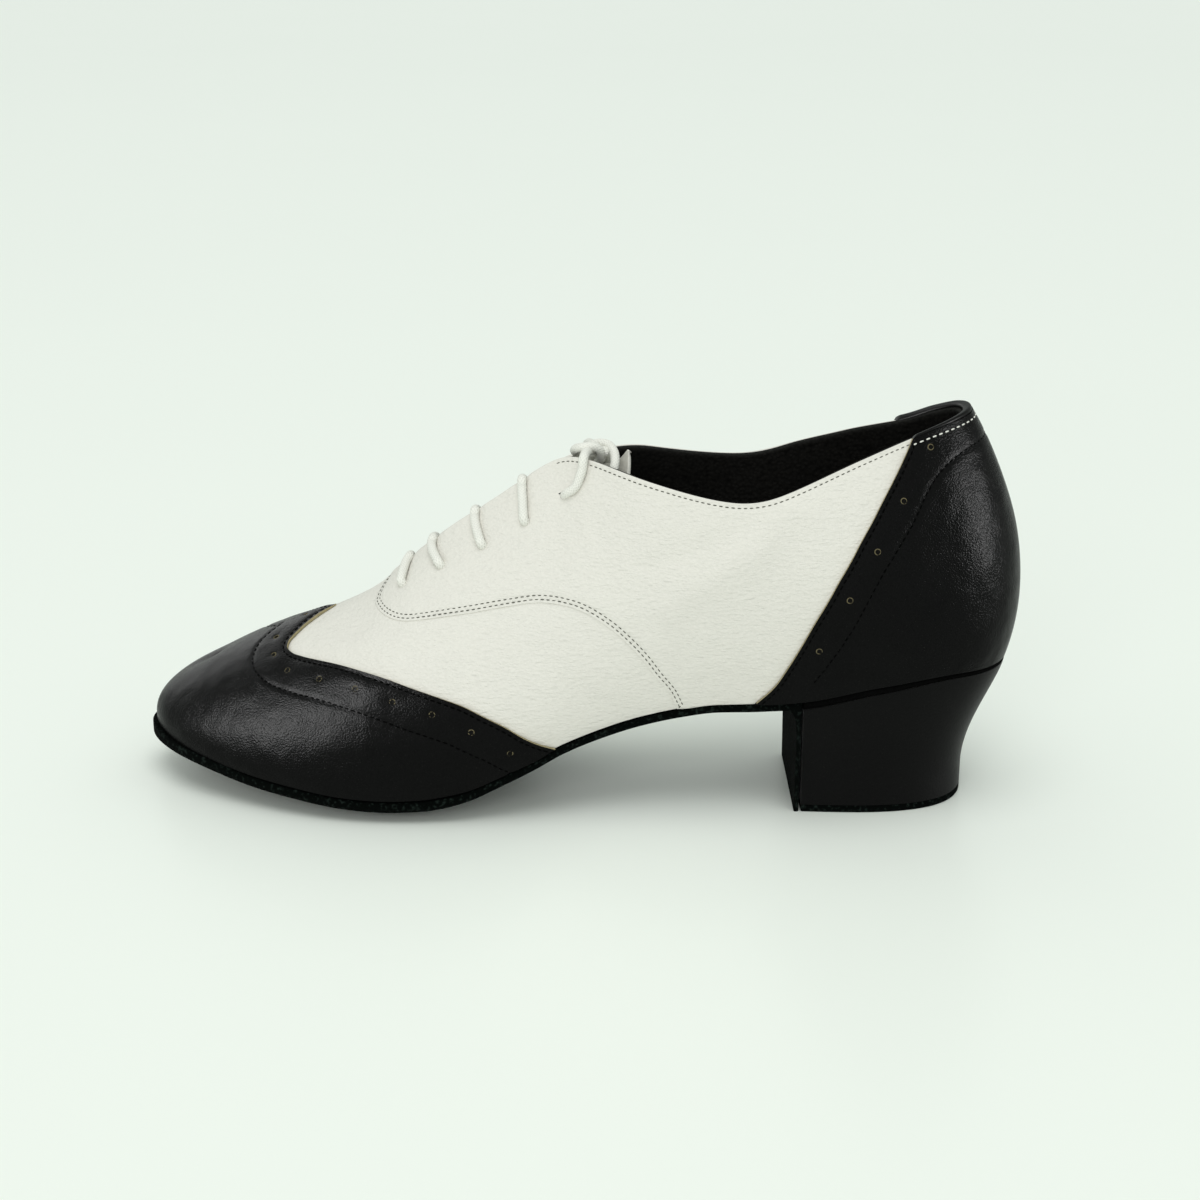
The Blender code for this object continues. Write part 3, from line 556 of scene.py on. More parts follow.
def inset(ribs, ups, distance, hand):
    """A line on the wall moved sideways by a distance, in small steps along the direction across it.

    Each step is split between rib and share by the least squares of the wall's two slopes.
    """
    steps = max(1, int(math.ceil(abs(distance))))
    span = 2 * SMALL_STEP
    for _ in range(steps):
        held = np.clip(ups, SMALL_STEP, 1 - span)
        along = unit(np.gradient(wall(ribs, held), axis=0))
        across = hand * distance / steps * np.cross(wall_normal(ribs, held), along)
        by_rib = (wall(ribs + SMALL_STEP, held) - wall(ribs - SMALL_STEP, held)) / span
        by_up = (wall(ribs, held + SMALL_STEP) - wall(ribs, held - SMALL_STEP)) / span
        rr, uu, ru = (by_rib ** 2).sum(-1), (by_up ** 2).sum(-1), (by_rib * by_up).sum(-1)
        ar, au = (across * by_rib).sum(-1), (across * by_up).sum(-1)
        det = rr * uu - ru * ru
        ribs = ribs + (ar * uu - au * ru) / det
        ups = ups + (au * rr - ar * ru) / det
    keep = (ups > OVERLAY_FOOT) & (ups < 1.0)
    return ribs[keep], ups[keep]


def spaced(ribs, ups, pitch, start):
    """Places along a line on the wall at an even pitch, and the line's direction at each."""
    path = wall(ribs, ups)
    run = lengths_along(path)
    at = np.arange(start, run[-1], pitch)
    along = unit(np.gradient(path, axis=0))
    direction = np.stack([np.interp(at, run, along[:, k]) for k in range(3)], axis=-1)
    return np.interp(at, run, ribs), np.interp(at, run, ups), unit(direction)


def both_sides(line):
    """A line on the outer side and its twin on the inner side."""
    ribs, ups = line
    return (ribs, ups, 1.0), (LOOP - ribs, ups, -1.0)


def edge_lines(name, distance, towards):
    """A panel's edge line on both sides, moved into the panel."""
    up = np.linspace(OVERLAY_FOOT, 1.0, LINE_STEPS)
    lines = both_sides((panel_line(name, up), up))
    return [inset(ribs, ups, distance, towards * hand) for ribs, ups, hand in lines]


def top_lines(start, end, distance):
    """A line below the top of the wall on both sides, between two ribs."""
    just_below = np.full(LINE_STEPS, 0.999)
    lines = both_sides((np.linspace(start, end, LINE_STEPS), just_below))
    return [inset(ribs, ups, distance, hand) for ribs, ups, hand in lines]


def table_lines(table):
    """A smooth line through places of a table on both sides."""
    ribs, ups = through(table, LINE_STEPS).T
    return [(line_ribs, line_ups) for line_ribs, line_ups, _ in both_sides((ribs, ups))]


def nearest(points, samples):
    """Distance from each point to the nearest of some samples, taken in batches."""
    flat = points.reshape(-1, 3)
    found = []
    for batch in np.array_split(flat, 1 + len(flat) // 400):
        gaps = ((batch[:, None] - samples[None]) ** 2).sum(-1)
        found.append(np.sqrt(gaps.min(axis=1)))
    return np.concatenate(found).reshape(points.shape[:-1])


def troughs(points, grooves):
    """Depth of soft grooves: each takes depth times the bell exp(-(distance / width)^2)."""
    depth = np.zeros(points.shape[:-1])
    for samples, deep, wide in grooves:
        depth -= deep * np.exp(-(nearest(points, samples) / wide) ** 2)
    return depth


def unevenness(points, height):
    """Slow swells of hand-lasted leather: two products of sine waves over the place and one more wave."""
    x, y, z = points[..., 0], points[..., 1], points[..., 2]
    return height * (
        np.sin(x / 8.3 + z / 11.0) * np.sin(z / 7.1 - y / 9.0)
        + 0.6 * np.sin(x / 4.7 - z / 6.1 + 1.3) * np.sin(y / 5.3 + x / 13.0)
        + 0.4 * np.sin(z / 3.9 + y / 6.7 + 0.4)
    )


# Meshes

def grid_quads(columns, rows, start=0, wrap=False):
    """Quads of a grid of points laid out column by column; wrapped, the last column meets the first."""
    i = np.arange(columns if wrap else columns - 1)[:, None]
    j = np.arange(rows - 1)[None]
    low, high = i * rows + j, (i + 1) % columns * rows + j
    return np.stack([low, high, high + 1, low + 1], axis=-1).reshape(-1, 4) + start


def add_piece(name, points, faces, looks, face_looks=None, uv=None, sharp=40.0, merge=True):
    """One piece from points in millimetres and faces, riding on the shoe's only body."""
    mesh = bpy.data.meshes.new(name)
    mesh.from_pydata((np.asarray(points).reshape(-1, 3) * MM).tolist(), [], [list(f) for f in faces])
    for material in looks:
        mesh.materials.append(material)
    if face_looks is not None:
        mesh.polygons.foreach_set("material_index", np.asarray(face_looks, np.int32))
    if uv is not None:
        corners = np.zeros(len(mesh.loops), np.int32)
        mesh.loops.foreach_get("vertex_index", corners)
        layer = mesh.uv_layers.new(name="UVMap")
        layer.data.foreach_set("uv", np.asarray(uv, np.float32)[corners].ravel())
    if merge:
        shape = bmesh.new()
        shape.from_mesh(mesh)
        bmesh.ops.remove_doubles(shape, verts=shape.verts, dist=MERGE_DISTANCE * MM)
        bmesh.ops.recalc_face_normals(shape, faces=shape.faces)
        shape.to_mesh(mesh)
        shape.free()
    mesh.shade_smooth()
    mesh.set_sharp_from_angle(angle=math.radians(sharp))
    made = bpy.data.objects.new(name, mesh)
    bpy.context.scene.collection.objects.link(made)
    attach(made, "root")
    return made


def border_of(columns, rows, joined_end):
    """Numbers of a grid's border points in order; a joined end has no border on its last column."""
    first = np.arange(columns) * rows
    last = (columns - 1) * rows + np.arange(1, rows - 1)
    back = np.arange(columns - 1, -1, -1) * rows + rows - 1
    home = np.arange(rows - 2, 0, -1)
    return np.concatenate([first, back, home] if joined_end else [first, last, back, home])


def sheet_rim(face, back, loop, bulge, joined_end):
    """The rim of a sheet, half round from the border of its face to that of its back.

    It is middle + half the thickness times (cos a across the sheet, bulge times sin a outward), so a
    bulge of 1 is a rolled edge and a small one is a cut edge.
    """
    out = np.zeros_like(face)
    out[0] += unit(face[0] - face[1])
    out[:, 0] += unit(face[:, 0] - face[:, 1])
    out[:, -1] += unit(face[:, -1] - face[:, -2])
    if not joined_end:
        out[-1] += unit(face[-1] - face[-2])
    front = face.reshape(-1, 3)[loop]
    rear = back.reshape(-1, 3)[loop]
    outward = unit(out.reshape(-1, 3)[loop])
    angle = np.linspace(0, math.pi, RIM_STEPS + 1)[:, None, None]
    half = (front - rear) / 2
    thick = np.linalg.norm(half, axis=-1, keepdims=True)
    rim = (front + rear) / 2 + np.cos(angle) * half + bulge * np.sin(angle) * thick * outward
    return rim.transpose(1, 0, 2)


def add_sheet(name, face, back, looks, bulge, joined_end=False):
    """A closed sheet between a face grid and a back grid, with a rounded rim.

    The looks are those of the face, of the back and of the rim across the columns' ends.
    """
    columns, rows = face.shape[:2]
    loop = border_of(columns, rows, joined_end)
    rim = sheet_rim(face, back, loop, bulge, joined_end)
    size = columns * rows
    faces = np.concatenate([
        grid_quads(columns, rows),
        grid_quads(columns, rows, size),
        grid_quads(len(loop), RIM_STEPS + 1, 2 * size, wrap=True),
    ])
    plain = (columns - 1) * (rows - 1)
    rim_kinds = np.full(len(loop), 2)
    rim_kinds[:columns] = 0
    rim_kinds[np.isin(loop, np.arange(columns) * rows + rows - 1)] = 0
    kinds = np.concatenate([np.repeat([0, 1], plain), np.repeat(rim_kinds, RIM_STEPS)])
    points = np.concatenate([face.reshape(-1, 3), back.reshape(-1, 3), rim.reshape(-1, 3)])
    return add_piece(name, points, faces, looks, kinds)


def add_rings(name, rings, looks, sharp=40.0):
    """A closed solid from rings of points; both end rings are closed by straight rungs across them."""
    count, size = rings.shape[:2]
    i = np.arange(count - 1)[:, None] * size
    j = np.arange(size)[None]
    k = (j + 1) % size
    sides = np.stack([i + j, i + k, i + size + k, i + size + j], axis=-1).reshape(-1, 4)
    rung = np.arange(size // 2 - 1)
    far = size - 1 - rung
    cap = np.stack([rung, rung + 1, far - 1, far], axis=-1)
    faces = np.concatenate([sides, cap, cap + (count - 1) * size])
    return add_piece(name, rings, faces, looks, sharp=sharp)


def tube_points(path, diameter, sides):
    """A round profile carried along a path: each ring lies across it and turns as little as it can.

    Over the first and the last few rings the radius follows a quarter circle, which rounds the ends.
    """
    along = unit(np.gradient(path, axis=0))
    across = np.zeros_like(path)
    seed = np.eye(3)[np.argmin(np.abs(along[0]))]
    across[0] = unit(np.cross(along[0], seed))
    for k in range(1, len(path)):
        across[k] = unit(across[k - 1] - along[k] * np.dot(across[k - 1], along[k]))
    third = np.cross(along, across)
    angle = 2 * math.pi * np.arange(sides) / sides
    circle = np.cos(angle)[:, None] * across[:, None] + np.sin(angle)[:, None] * third[:, None]
    inward = np.minimum(1, np.arange(len(path)) / TUBE_END_RINGS)
    taper = np.sqrt(np.clip(1 - (1 - inward) ** 2, 0.05, 1))
    taper = np.minimum(taper, taper[::-1])
    return path[:, None] + diameter / 2 * taper[:, None, None] * circle


def add_tubes(name, paths, diameter, material, sides=14):
    """Cords along paths as one piece, with a map whose second number is the distance along in diameters."""
    points, faces, uv = [], [], []
    start = 0
    for path in paths:
        rings = tube_points(path, diameter, sides)
        rings = np.concatenate([rings, rings[:, :1]], axis=1)
        count = len(path)
        turn = np.broadcast_to(np.linspace(0, 1, sides + 1), (count, sides + 1))
        run = np.broadcast_to(lengths_along(path)[:, None] / diameter, (count, sides + 1))
        points.append(rings.reshape(-1, 3))
        uv.append(np.stack([turn, run], axis=-1).reshape(-1, 2))
        faces += grid_quads(count, sides + 1, start).tolist()
        faces.append(list(range(start, start + sides)))
        faces.append(list(range(start + (count - 1) * (sides + 1), start + count * (sides + 1) - 1)))
        start += count * (sides + 1)
    points, uv = np.concatenate(points), np.concatenate(uv)
    return add_piece(name, points, faces, [material], uv=uv, sharp=60.0)


# Small repeated shapes

STITCH_RINGS = ((-0.5, 0.35), (-0.34, 0.85), (0.0, 1.0), (0.34, 0.85), (0.5, 0.35))
STITCH_SIDES = 6
STITCH_SHARE = {"black": 0.7, "olive": 0.6, "white": 0.62}   # length of a stitch against its pitch
FINE_THREAD = 0.66           # thickness of the olive thread against the others
BLACK_ROWS = ("wing_edge", "wing_inner", "counter_edge", "counter_inner")

# Rings of the holes: radius against the hole's own, and height above the leather
PUNCHED_RIM = ((1.75, 0.0), (1.5, 0.16), (1.0, 0.06))
# The floors are painted shade: dark discs for the shadow inside each hole, over the lining seen through it
PUNCHED_FLOOR = ((1.15, 0.1), (0.8, 0.09))
LACE_HOLE_FLOOR = ((1.0, 0.06), (0.7, -0.04))


def ring_quads(rings, sides):
    """Quads between rings of points that follow each other."""
    faces = []
    for low in range(0, (rings - 1) * sides, sides):
        for k in range(sides):
            after = (k + 1) % sides
            faces.append([low + k, low + after, low + sides + after, low + sides + k])
    return faces


def stitch_template():
    """A stitch of unit length and radius: rings along it, as points (along, across, out), and its faces."""
    angle = 2 * math.pi * np.arange(STITCH_SIDES) / STITCH_SIDES
    points = [
        np.stack([np.full(STITCH_SIDES, x), r * np.cos(angle), r * np.sin(angle)], axis=-1)
        for x, r in STITCH_RINGS
    ]
    faces = ring_quads(len(STITCH_RINGS), STITCH_SIDES)
    faces.append(list(range(STITCH_SIDES)))
    faces.append([(len(STITCH_RINGS) - 1) * STITCH_SIDES + k for k in range(STITCH_SIDES)])
    return np.concatenate(points), faces


def disc_template(rings, sides=12):
    """A round hole's rim and floor of unit radius: rings of (radius, out), closed in the middle."""
    angle = 2 * math.pi * np.arange(sides) / sides
    points = [
        np.stack([r * np.cos(angle), r * np.sin(angle), np.full(sides, out)], axis=-1) for r, out in rings
    ]
    faces = ring_quads(len(rings), sides)
    faces.append([(len(rings) - 1) * sides + k for k in range(sides)])
    return np.concatenate(points), faces


def copies(template, spots, sizes):
    """Copies of a template at spots (middle, along, out), stretched by sizes along, across and out."""
    points, faces = template
    middle, along, out = spots
    along = unit(along - out * (along * out).sum(-1, keepdims=True))
    across = np.cross(out, along)
    axes = np.stack([along * sizes[0], across * sizes[1], out * sizes[2]], axis=1)
    made = middle[:, None] + np.einsum("kj,njc->nkc", points, axes)
    count = len(points)
    listed = [[corner + n * count for corner in face] for n in range(len(middle)) for face in faces]
    return made.reshape(-1, 3), listed


def face_of(ribs, ups, lift, grooves):
    """A panel's face: the wall lifted off, with slow swells and soft grooves."""
    base = skin(ribs, ups, np.full(ribs.shape, lift))
    deep = troughs(base, grooves) + unevenness(base, SWELL)
    return base + deep[..., None] * skin_normal(ribs, ups)


def spots_on(lines, pitch, lift, grooves):
    """Middles, directions and outward directions along lines on a panel's face."""
    found = [spaced(ribs, ups, pitch, pitch / 2) for ribs, ups in lines]
    ribs = np.concatenate([f[0] for f in found])
    ups = np.concatenate([f[1] for f in found])
    return face_of(ribs, ups, lift, grooves), np.concatenate([f[2] for f in found]), skin_normal(ribs, ups)


def spots_at(places, lift, grooves):
    """Middles, directions and outward directions at places of a table on both sides of a panel."""
    ribs, ups = np.array(places).T
    ribs, ups = np.concatenate([ribs, LOOP - ribs]), np.concatenate([ups, ups])
    middle = face_of(ribs, ups, lift, grooves)
    return middle, np.broadcast_to([1.0, 0.0, 0.0], middle.shape), skin_normal(ribs, ups)


# Materials

def linear(code):
    """An sRGB hex colour as linear numbers."""
    parts = np.array([int(code[k:k + 2], 16) for k in (0, 2, 4)]) / 255
    return tuple(np.where(parts <= 0.04045, parts / 12.92, ((parts + 0.055) / 1.055) ** 2.4))


def per(size):
    """Scale of a texture whose cells measure a size in millimetres."""
    return 1 / (size * MM)


def add_node(tree, kind, settings, links):
    """Add a node: settings name properties or sockets, links name sockets and the outputs that feed them."""
    made = tree.nodes.new(kind)
    for name, value in settings.items():
        if isinstance(name, str) and hasattr(made, name):
            setattr(made, name, value)
        else:
            made.inputs[name].default_value = value
    for name, output in links.items():
        tree.links.new(output, made.inputs[name])
    return made


def surface(rough, gloss):
    """Socket values of a surface's roughness and gloss."""
    return {"Roughness": rough, "Specular IOR Level": gloss}


def new_look(name, sockets):
    """A named material with values set on its shader's own sockets; returns it, its tree and its shader."""
    made = bpy.data.materials.new(name)
    made.use_nodes = True
    tree = made.node_tree
    shader = tree.nodes["Principled BSDF"]
    for socket, value in sockets.items():
        shader.inputs[socket].default_value = value
    return made, tree, shader


def mottled(tree, where, size, pale, deep, low=0.0, high=1.0):
    """A colour that drifts between two tones over patches of a size: pale below low, deep above high."""
    cloud = add_node(tree, "ShaderNodeTexNoise", {"Scale": per(size), "Detail": 3.0}, {"Vector": where})
    share = add_node(
        tree, "ShaderNodeMapRange", {"From Min": low, "From Max": high}, {"Value": cloud.outputs[0]})
    mix = add_node(
        tree, "ShaderNodeMix",
        {"data_type": "RGBA", MIX_FIRST: (*pale, 1.0), MIX_SECOND: (*deep, 1.0)},
        {MIX_SHARE: share.outputs[0]})
    return mix.outputs[MIX_RESULT]


def patchy(name, sockets, size, pale, deep):
    """A material without relief whose colour drifts between two tones over patches of a size."""
    made, tree, shader = new_look(name, sockets)
    where = add_node(tree, "ShaderNodeTexCoord", {}, {}).outputs["Object"]
    tree.links.new(mottled(tree, where, size, pale, deep), shader.inputs["Base Color"])
    return made


def leather_relief(tree, where, pebbles, grain, depth, line_depth, dent):
    """The normal of finished leather: dents, drawn lines, pores and pebbles, each over the one before."""
    drawn = add_node(tree, "ShaderNodeMapping", {"Scale": LINE_SCALE}, {"Vector": where}).outputs[0]
    # Depth, size, detail and coordinates of each cloudy layer
    layers = (
        (dent, DENT_SIZE, 1.0, where),
        (line_depth, grain * LINE_SIZE, 2.0, drawn),
        (depth * PORE_DEPTH, grain * PORE_SIZE, 2.0, where),
    )
    under = {}
    for layer_depth, size, detail, vector in layers:
        cloud = add_node(
            tree, "ShaderNodeTexNoise", {"Scale": per(size), "Detail": detail}, {"Vector": vector})
        bump = add_node(
            tree, "ShaderNodeBump", {"Distance": layer_depth * MM}, {"Height": cloud.outputs[0], **under})
        under = {"Normal": bump.outputs[0]}
    pebbled = add_node(
        tree, "ShaderNodeBump", {"Distance": depth * MM, "invert": True}, {"Height": pebbles, **under})
    return pebbled.outputs[0]


def leather(name, pale, deep, sockets, grain, depth, line_depth, hollow_tone_and_shade, stretch=1.0, dent=0.0):
    """Finished leather: pebbles of the grain, pores between them, drawn lines along the shoe and soft dents.

    The leather loses a share of its colour between its pebbles: partly the pores' own darker tone, partly
    painted shade in the grain's hollows. The stretch is how much longer the pebbles are along the shoe than
    up it. The dent is the depth of its uneven lie on the last.
    """
    made, tree, shader = new_look(name, sockets)
    where = add_node(tree, "ShaderNodeTexCoord", {}, {}).outputs["Object"]
    pulled = add_node(tree, "ShaderNodeMapping", {"Scale": (1 / stretch, 1.0, 1.0)}, {"Vector": where})
    pebbles = add_node(
        tree, "ShaderNodeTexVoronoi", {"feature": "SMOOTH_F1", "Scale": per(grain), "Smoothness": 0.6},
        {"Vector": pulled.outputs[0]}).outputs["Distance"]
    # Darker between the pebbles: partly the pores' own tone, partly painted shade in the grain's hollows
    darker_hollows = add_node(
        tree, "ShaderNodeMapRange", {"From Min": 0.2, "From Max": 0.9, "To Min": 1.0, "To Max": 1.0 - hollow_tone_and_shade},
        {"Value": pebbles})
    tint = add_node(
        tree, "ShaderNodeMix", {"data_type": "RGBA", "blend_type": "MULTIPLY", MIX_SHARE: 1.0},
        {MIX_FIRST: mottled(tree, where, TINT_SIZE, pale, deep), MIX_SECOND: darker_hollows.outputs[0]})
    normal = leather_relief(tree, where, pebbles, grain, depth, line_depth, dent)
    tree.links.new(tint.outputs[MIX_RESULT], shader.inputs["Base Color"])
    tree.links.new(normal, shader.inputs["Normal"])
    return made


def darker(colour, share):
    """A colour multiplied down."""
    return tuple(c * share for c in colour)


def white_leather(colours):
    """White kid leather: sprayed pale, with a soft sheen and a fine grain drawn out along the shoe."""
    pale = tuple(colours.white)
    return leather(
        "white_kid_leather", pale, darker(pale, 0.96), surface(0.5, 0.15),
        grain=0.6, depth=0.13, line_depth=0.35, hollow_tone_and_shade=0.06, stretch=1.7, dent=0.5)


def tongue_shaded_leather(colours):
    """The tongue's leather: dull, greyed from the upper's white as painted shade for the knot's shadow on it.
    """
    pale = tuple(colours.tongue)
    return leather(
        "tongue_leather_painted_shade", pale, darker(pale, 0.9), surface(0.7, 0.1),
        grain=0.9, depth=0.1, line_depth=0.1, hollow_tone_and_shade=0.1)


def black_leather(colours):
    """Black calf leather: dyed through and polished, with a fine pebbled grain that sparkles in the light."""
    pale = tuple(colours.black)
    return leather(
        "black_calf_leather", pale, darker(pale, 0.7), surface(0.27, 0.03),
        grain=0.5, depth=0.085, line_depth=0.03, hollow_tone_and_shade=0.3, dent=0.7)


def heel_leather(colours):
    """Black leather stretched over the heel block: duller than the upper, its grain pulled flat."""
    pale = darker(tuple(colours.black), 0.6)
    sockets = {**surface(0.42, 0.05), "Sheen Weight": 0.04, "Sheen Roughness": 0.4}
    return leather(
        "heel_cover_leather", pale, darker(pale, 0.8), sockets,
        grain=0.5, depth=0.05, line_depth=0.03, hollow_tone_and_shade=0.3)


def polished_leather(colours):
    """The rolled edge: black leather burnished to a soft gloss."""
    pale = tuple(colours.black)
    return leather(
        "burnished_black_leather", pale, darker(pale, 0.8), surface(0.35, 0.05),
        grain=0.8, depth=0.02, line_depth=0.01, hollow_tone_and_shade=0.2)


def rand_edge_shaded(colours):
    """The rand's black cut edge: fibrous and dull, made darker than the black leather as painted shade for
    the gap under the counter.
    """
    pale = darker(tuple(colours.black), 0.5)
    return leather(
        "rand_edge_painted_shade", pale, darker(pale, 0.4), surface(0.9, 0.02),
        grain=0.8, depth=0.2, line_depth=0.2, hollow_tone_and_shade=0.5)


def suede(colours):
    """Chrome suede of a dance sole: a brushed nap without gloss, speckled coarsely enough to show."""
    pale = tuple(colours.suede)
    sockets = {**surface(1.0, 0.02), "Sheen Weight": 0.004, "Sheen Roughness": 0.6}
    made, tree, shader = new_look("chrome_suede", sockets)
    where = add_node(tree, "ShaderNodeTexCoord", {}, {}).outputs["Object"]
    nap = add_node(
        tree, "ShaderNodeTexNoise", {"Scale": per(0.8), "Detail": 5.0, "Roughness": 0.7}, {"Vector": where})
    bump = add_node(tree, "ShaderNodeBump", {"Distance": 0.5 * MM}, {"Height": nap.outputs[0]})
    speckled = mottled(tree, where, 1.1, pale, darker(pale, 0.12), low=0.32, high=0.46)
    tree.links.new(speckled, shader.inputs["Base Color"])
    tree.links.new(bump.outputs[0], shader.inputs["Normal"])
    return made


def cut_edge(colours):
    """The raw edge of cut leather: undyed tan fibres, rough."""
    pale = tuple(colours.cut)
    return patchy("raw_cut_leather", surface(0.9, 0.2), 1.2, pale, darker(pale, 0.45))


def lining_leather(colours):
    """Black pigskin lining: thin, dull and slightly pitted."""
    pale = tuple(colours.lining)
    return leather(
        "black_pigskin_lining", pale, darker(pale, 0.4), surface(0.7, 0.1),
        grain=1.1, depth=0.25, line_depth=0.1, hollow_tone_and_shade=0.6)


def cotton(colours):
    """Waxed cotton lace: a round braid whose crossing strands show as slanting ribs."""
    pale = tuple(colours.lace)
    made, tree, shader = new_look("waxed_cotton_braid", surface(0.75, 0.25))
    where = add_node(tree, "ShaderNodeTexCoord", {}, {}).outputs["UV"]
    strands = []
    for slant in (0.6, -0.6):
        turned = add_node(
            tree, "ShaderNodeMapping", {"Scale": (6.0, 3.2, 1.0), "Rotation": (0, 0, slant)},
            {"Vector": where})
        wave = add_node(tree, "ShaderNodeTexWave", {"Scale": 0.5}, {"Vector": turned.outputs[0]})
        strands.append(wave.outputs[1])
    highest = add_node(tree, "ShaderNodeMath", {"operation": "MAXIMUM"}, dict(enumerate(strands)))
    braid = highest.outputs[0]
    bump = add_node(tree, "ShaderNodeBump", {"Distance": 0.16 * MM}, {"Height": braid})
    # The braid is a tenth darker in the grooves between its strands than on their crowns: painted shade
    mix = add_node(
        tree, "ShaderNodeMix",
        {"data_type": "RGBA", MIX_FIRST: (*darker(pale, 0.9), 1.0), MIX_SECOND: (*pale, 1.0)},
        {MIX_SHARE: braid})
    tree.links.new(mix.outputs[MIX_RESULT], shader.inputs["Base Color"])
    tree.links.new(bump.outputs[0], shader.inputs["Normal"])
    return made


def thread(name, colour, shine):
    """Twisted polyester thread: smooth and nearly matt at this size."""
    return patchy(name, surface(0.5, shine), 0.8, colour, darker(colour, 0.75))


def hole_rim(colours):
    """The rim of a punched hole: tan fibres that the finish has darkened."""
    pale = darker(tuple(colours.cut), 0.55)
    return patchy("punched_leather_rim", surface(0.9, 0.1), 1.2, pale, darker(pale, 0.3))


def painted_hole_shade(colours):
    """Painted shade inside a punched hole or a lace hole: the lining's colour darkened further, for the
    shadow down the hole.
    """
    pale = tuple(colours.lining)
    return patchy("hole_shade", surface(1.0, 0.0), 1.0, darker(pale, 0.6), darker(pale, 0.3))


def studio_floor(colours):
    """A sheet of satin white acrylic, as under product photographs: even, pale and faintly reflecting."""
    pale = tuple(colours.floor)
    return patchy("satin_acrylic", surface(0.3, 0.25), 400.0, pale, darker(pale, 0.99))


MAKERS = {
    "white": white_leather,
    "tongue": tongue_shaded_leather,
    "black": black_leather,
    "heel": heel_leather,
    "polished": polished_leather,
    "edge": rand_edge_shaded,
    "suede": suede,
    "cut": cut_edge,
    "lining": lining_leather,
    "cotton": cotton,
    "white_thread": lambda colours: thread("white_polyester_thread", tuple(colours.lace), 0.1),
    "black_thread": lambda colours: thread("black_polyester_thread", tuple(colours.black_thread), 0.03),
    "olive_thread": lambda colours: thread("olive_seam_thread_painted_shade", tuple(colours.olive_thread), 0.1),
    "hole_rim": hole_rim,
    "hole": painted_hole_shade,
    "floor": studio_floor,
}
MADE_LOOKS = {}


def look(kind):
    """The material of a kind, made once."""
    if kind not in MADE_LOOKS:
        MADE_LOOKS[kind] = MAKERS[kind](bpy.context.scene.shoe_colours)
    return MADE_LOOKS[kind]


# Pieces of the sole and the heel

def round_share(across, rounding):
    """Share of half the thickness left near a plate's edges, falling as a quarter ellipse."""
    t = np.clip((np.abs(across) - 1 + rounding) / rounding, 0, 1)
    return np.sqrt(1 - t ** 2)


def across_steps(count, rounding):
    """Places across a plate: even in the middle, close together on its rounded edges."""
    middle = np.linspace(-1 + rounding, 1 - rounding, count)
    bend = 1 - rounding + rounding * np.sin(np.linspace(0, math.pi / 2, 7)[1:])
    return np.concatenate([-bend[::-1], middle, bend])


def plate_rings(ribs, out, bottom, thickness, across, rounding):
    """Rings of a plate under the foot: across its lower face one way and back over its upper face."""
    outer_station, outer_side = edge(ribs, out)
    inner_station, inner_side = edge(LOOP - ribs, out)
    share = (1 + across) / 2
    station = outer_station[:, None] * (1 - share) + inner_station[:, None] * share
    side = outer_side[:, None] * (1 - share) + inner_side[:, None] * share
    half = thickness(station) / 2
    middle = bottom(station, across) + half
    half = half * round_share(across, rounding)
    low = place(station, side, middle - half)
    high = place(station, side, middle + half)
    return np.concatenate([low, high[:, -2:0:-1]], axis=1)


def sole_thickness(station):
    """The sole's thickness at a station."""
    return sole_value("thickness", station)


def make_sole():
    """The suede sole: plate rings from the toe to the waist, then its flap bent down the heel's breast."""
    across = across_steps(25, PLATE_ROUNDING)
    toe = TOE - np.linspace(0.02, 1, 24) ** 2
    ribs = np.concatenate([toe, np.linspace(TOE - 1.04, WAIST_END_RIB, 190)])
    ledge = sole_value("ledge", outline(ribs)[0])
    plate = plate_rings(ribs, ledge, underside, sole_thickness, across, PLATE_ROUNDING)
    side = FLAP_MIDDLE + BREAST["half"][:, None] * across
    share = round_share(across, PLATE_ROUNDING)
    mid_station = (BREAST["front"] + BREAST["back"])[:, None] / 2
    mid_height = (BREAST["front_height"] + BREAST["back_height"])[:, None] / 2
    half_station = (BREAST["front"] - BREAST["back"])[:, None] / 2 * share
    half_height = (BREAST["front_height"] - BREAST["back_height"])[:, None] / 2 * share
    front = place(mid_station + half_station, side, mid_height + half_height)
    back = place(mid_station - half_station, side, mid_height - half_height)
    flap = np.concatenate([front, back[:, -2:0:-1]], axis=1)
    bend = through(np.concatenate([plate[-1:], flap]), 60)
    rings = np.concatenate([plate[:-1], bend])
    made = add_rings("suede_outsole", rings, [look("suede")], sharp=70.0)
    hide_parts("outsole")


def heel_seat(out):
    """Outline of the heel's seat, from the breast round the back to the breast: stations and places."""
    ribs = BREAST_RIB * (1 - np.linspace(0, 1, 60) ** 0.8)
    ribs = np.concatenate([ribs, LOOP - ribs[-2::-1]])
    return edge(ribs, out)


def heel_level(station, side, depth):
    """Outline of the heel at a share of the way from its seat to its foot, hollowed by a power of a sine."""
    share = np.sin(math.pi / 2 * min(1.0, depth / HEEL_HOLLOW_END)) ** HEEL_HOLLOW_POWER
    foot_station = HEEL_FOOT_BACK + station * (HEEL_FOOT_FRONT - HEEL_FOOT_BACK) / BREAST_STATION
    foot_side = side * HEEL_FOOT_WIDTH
    return station + (foot_station - station) * share, side + (foot_side - side) * share


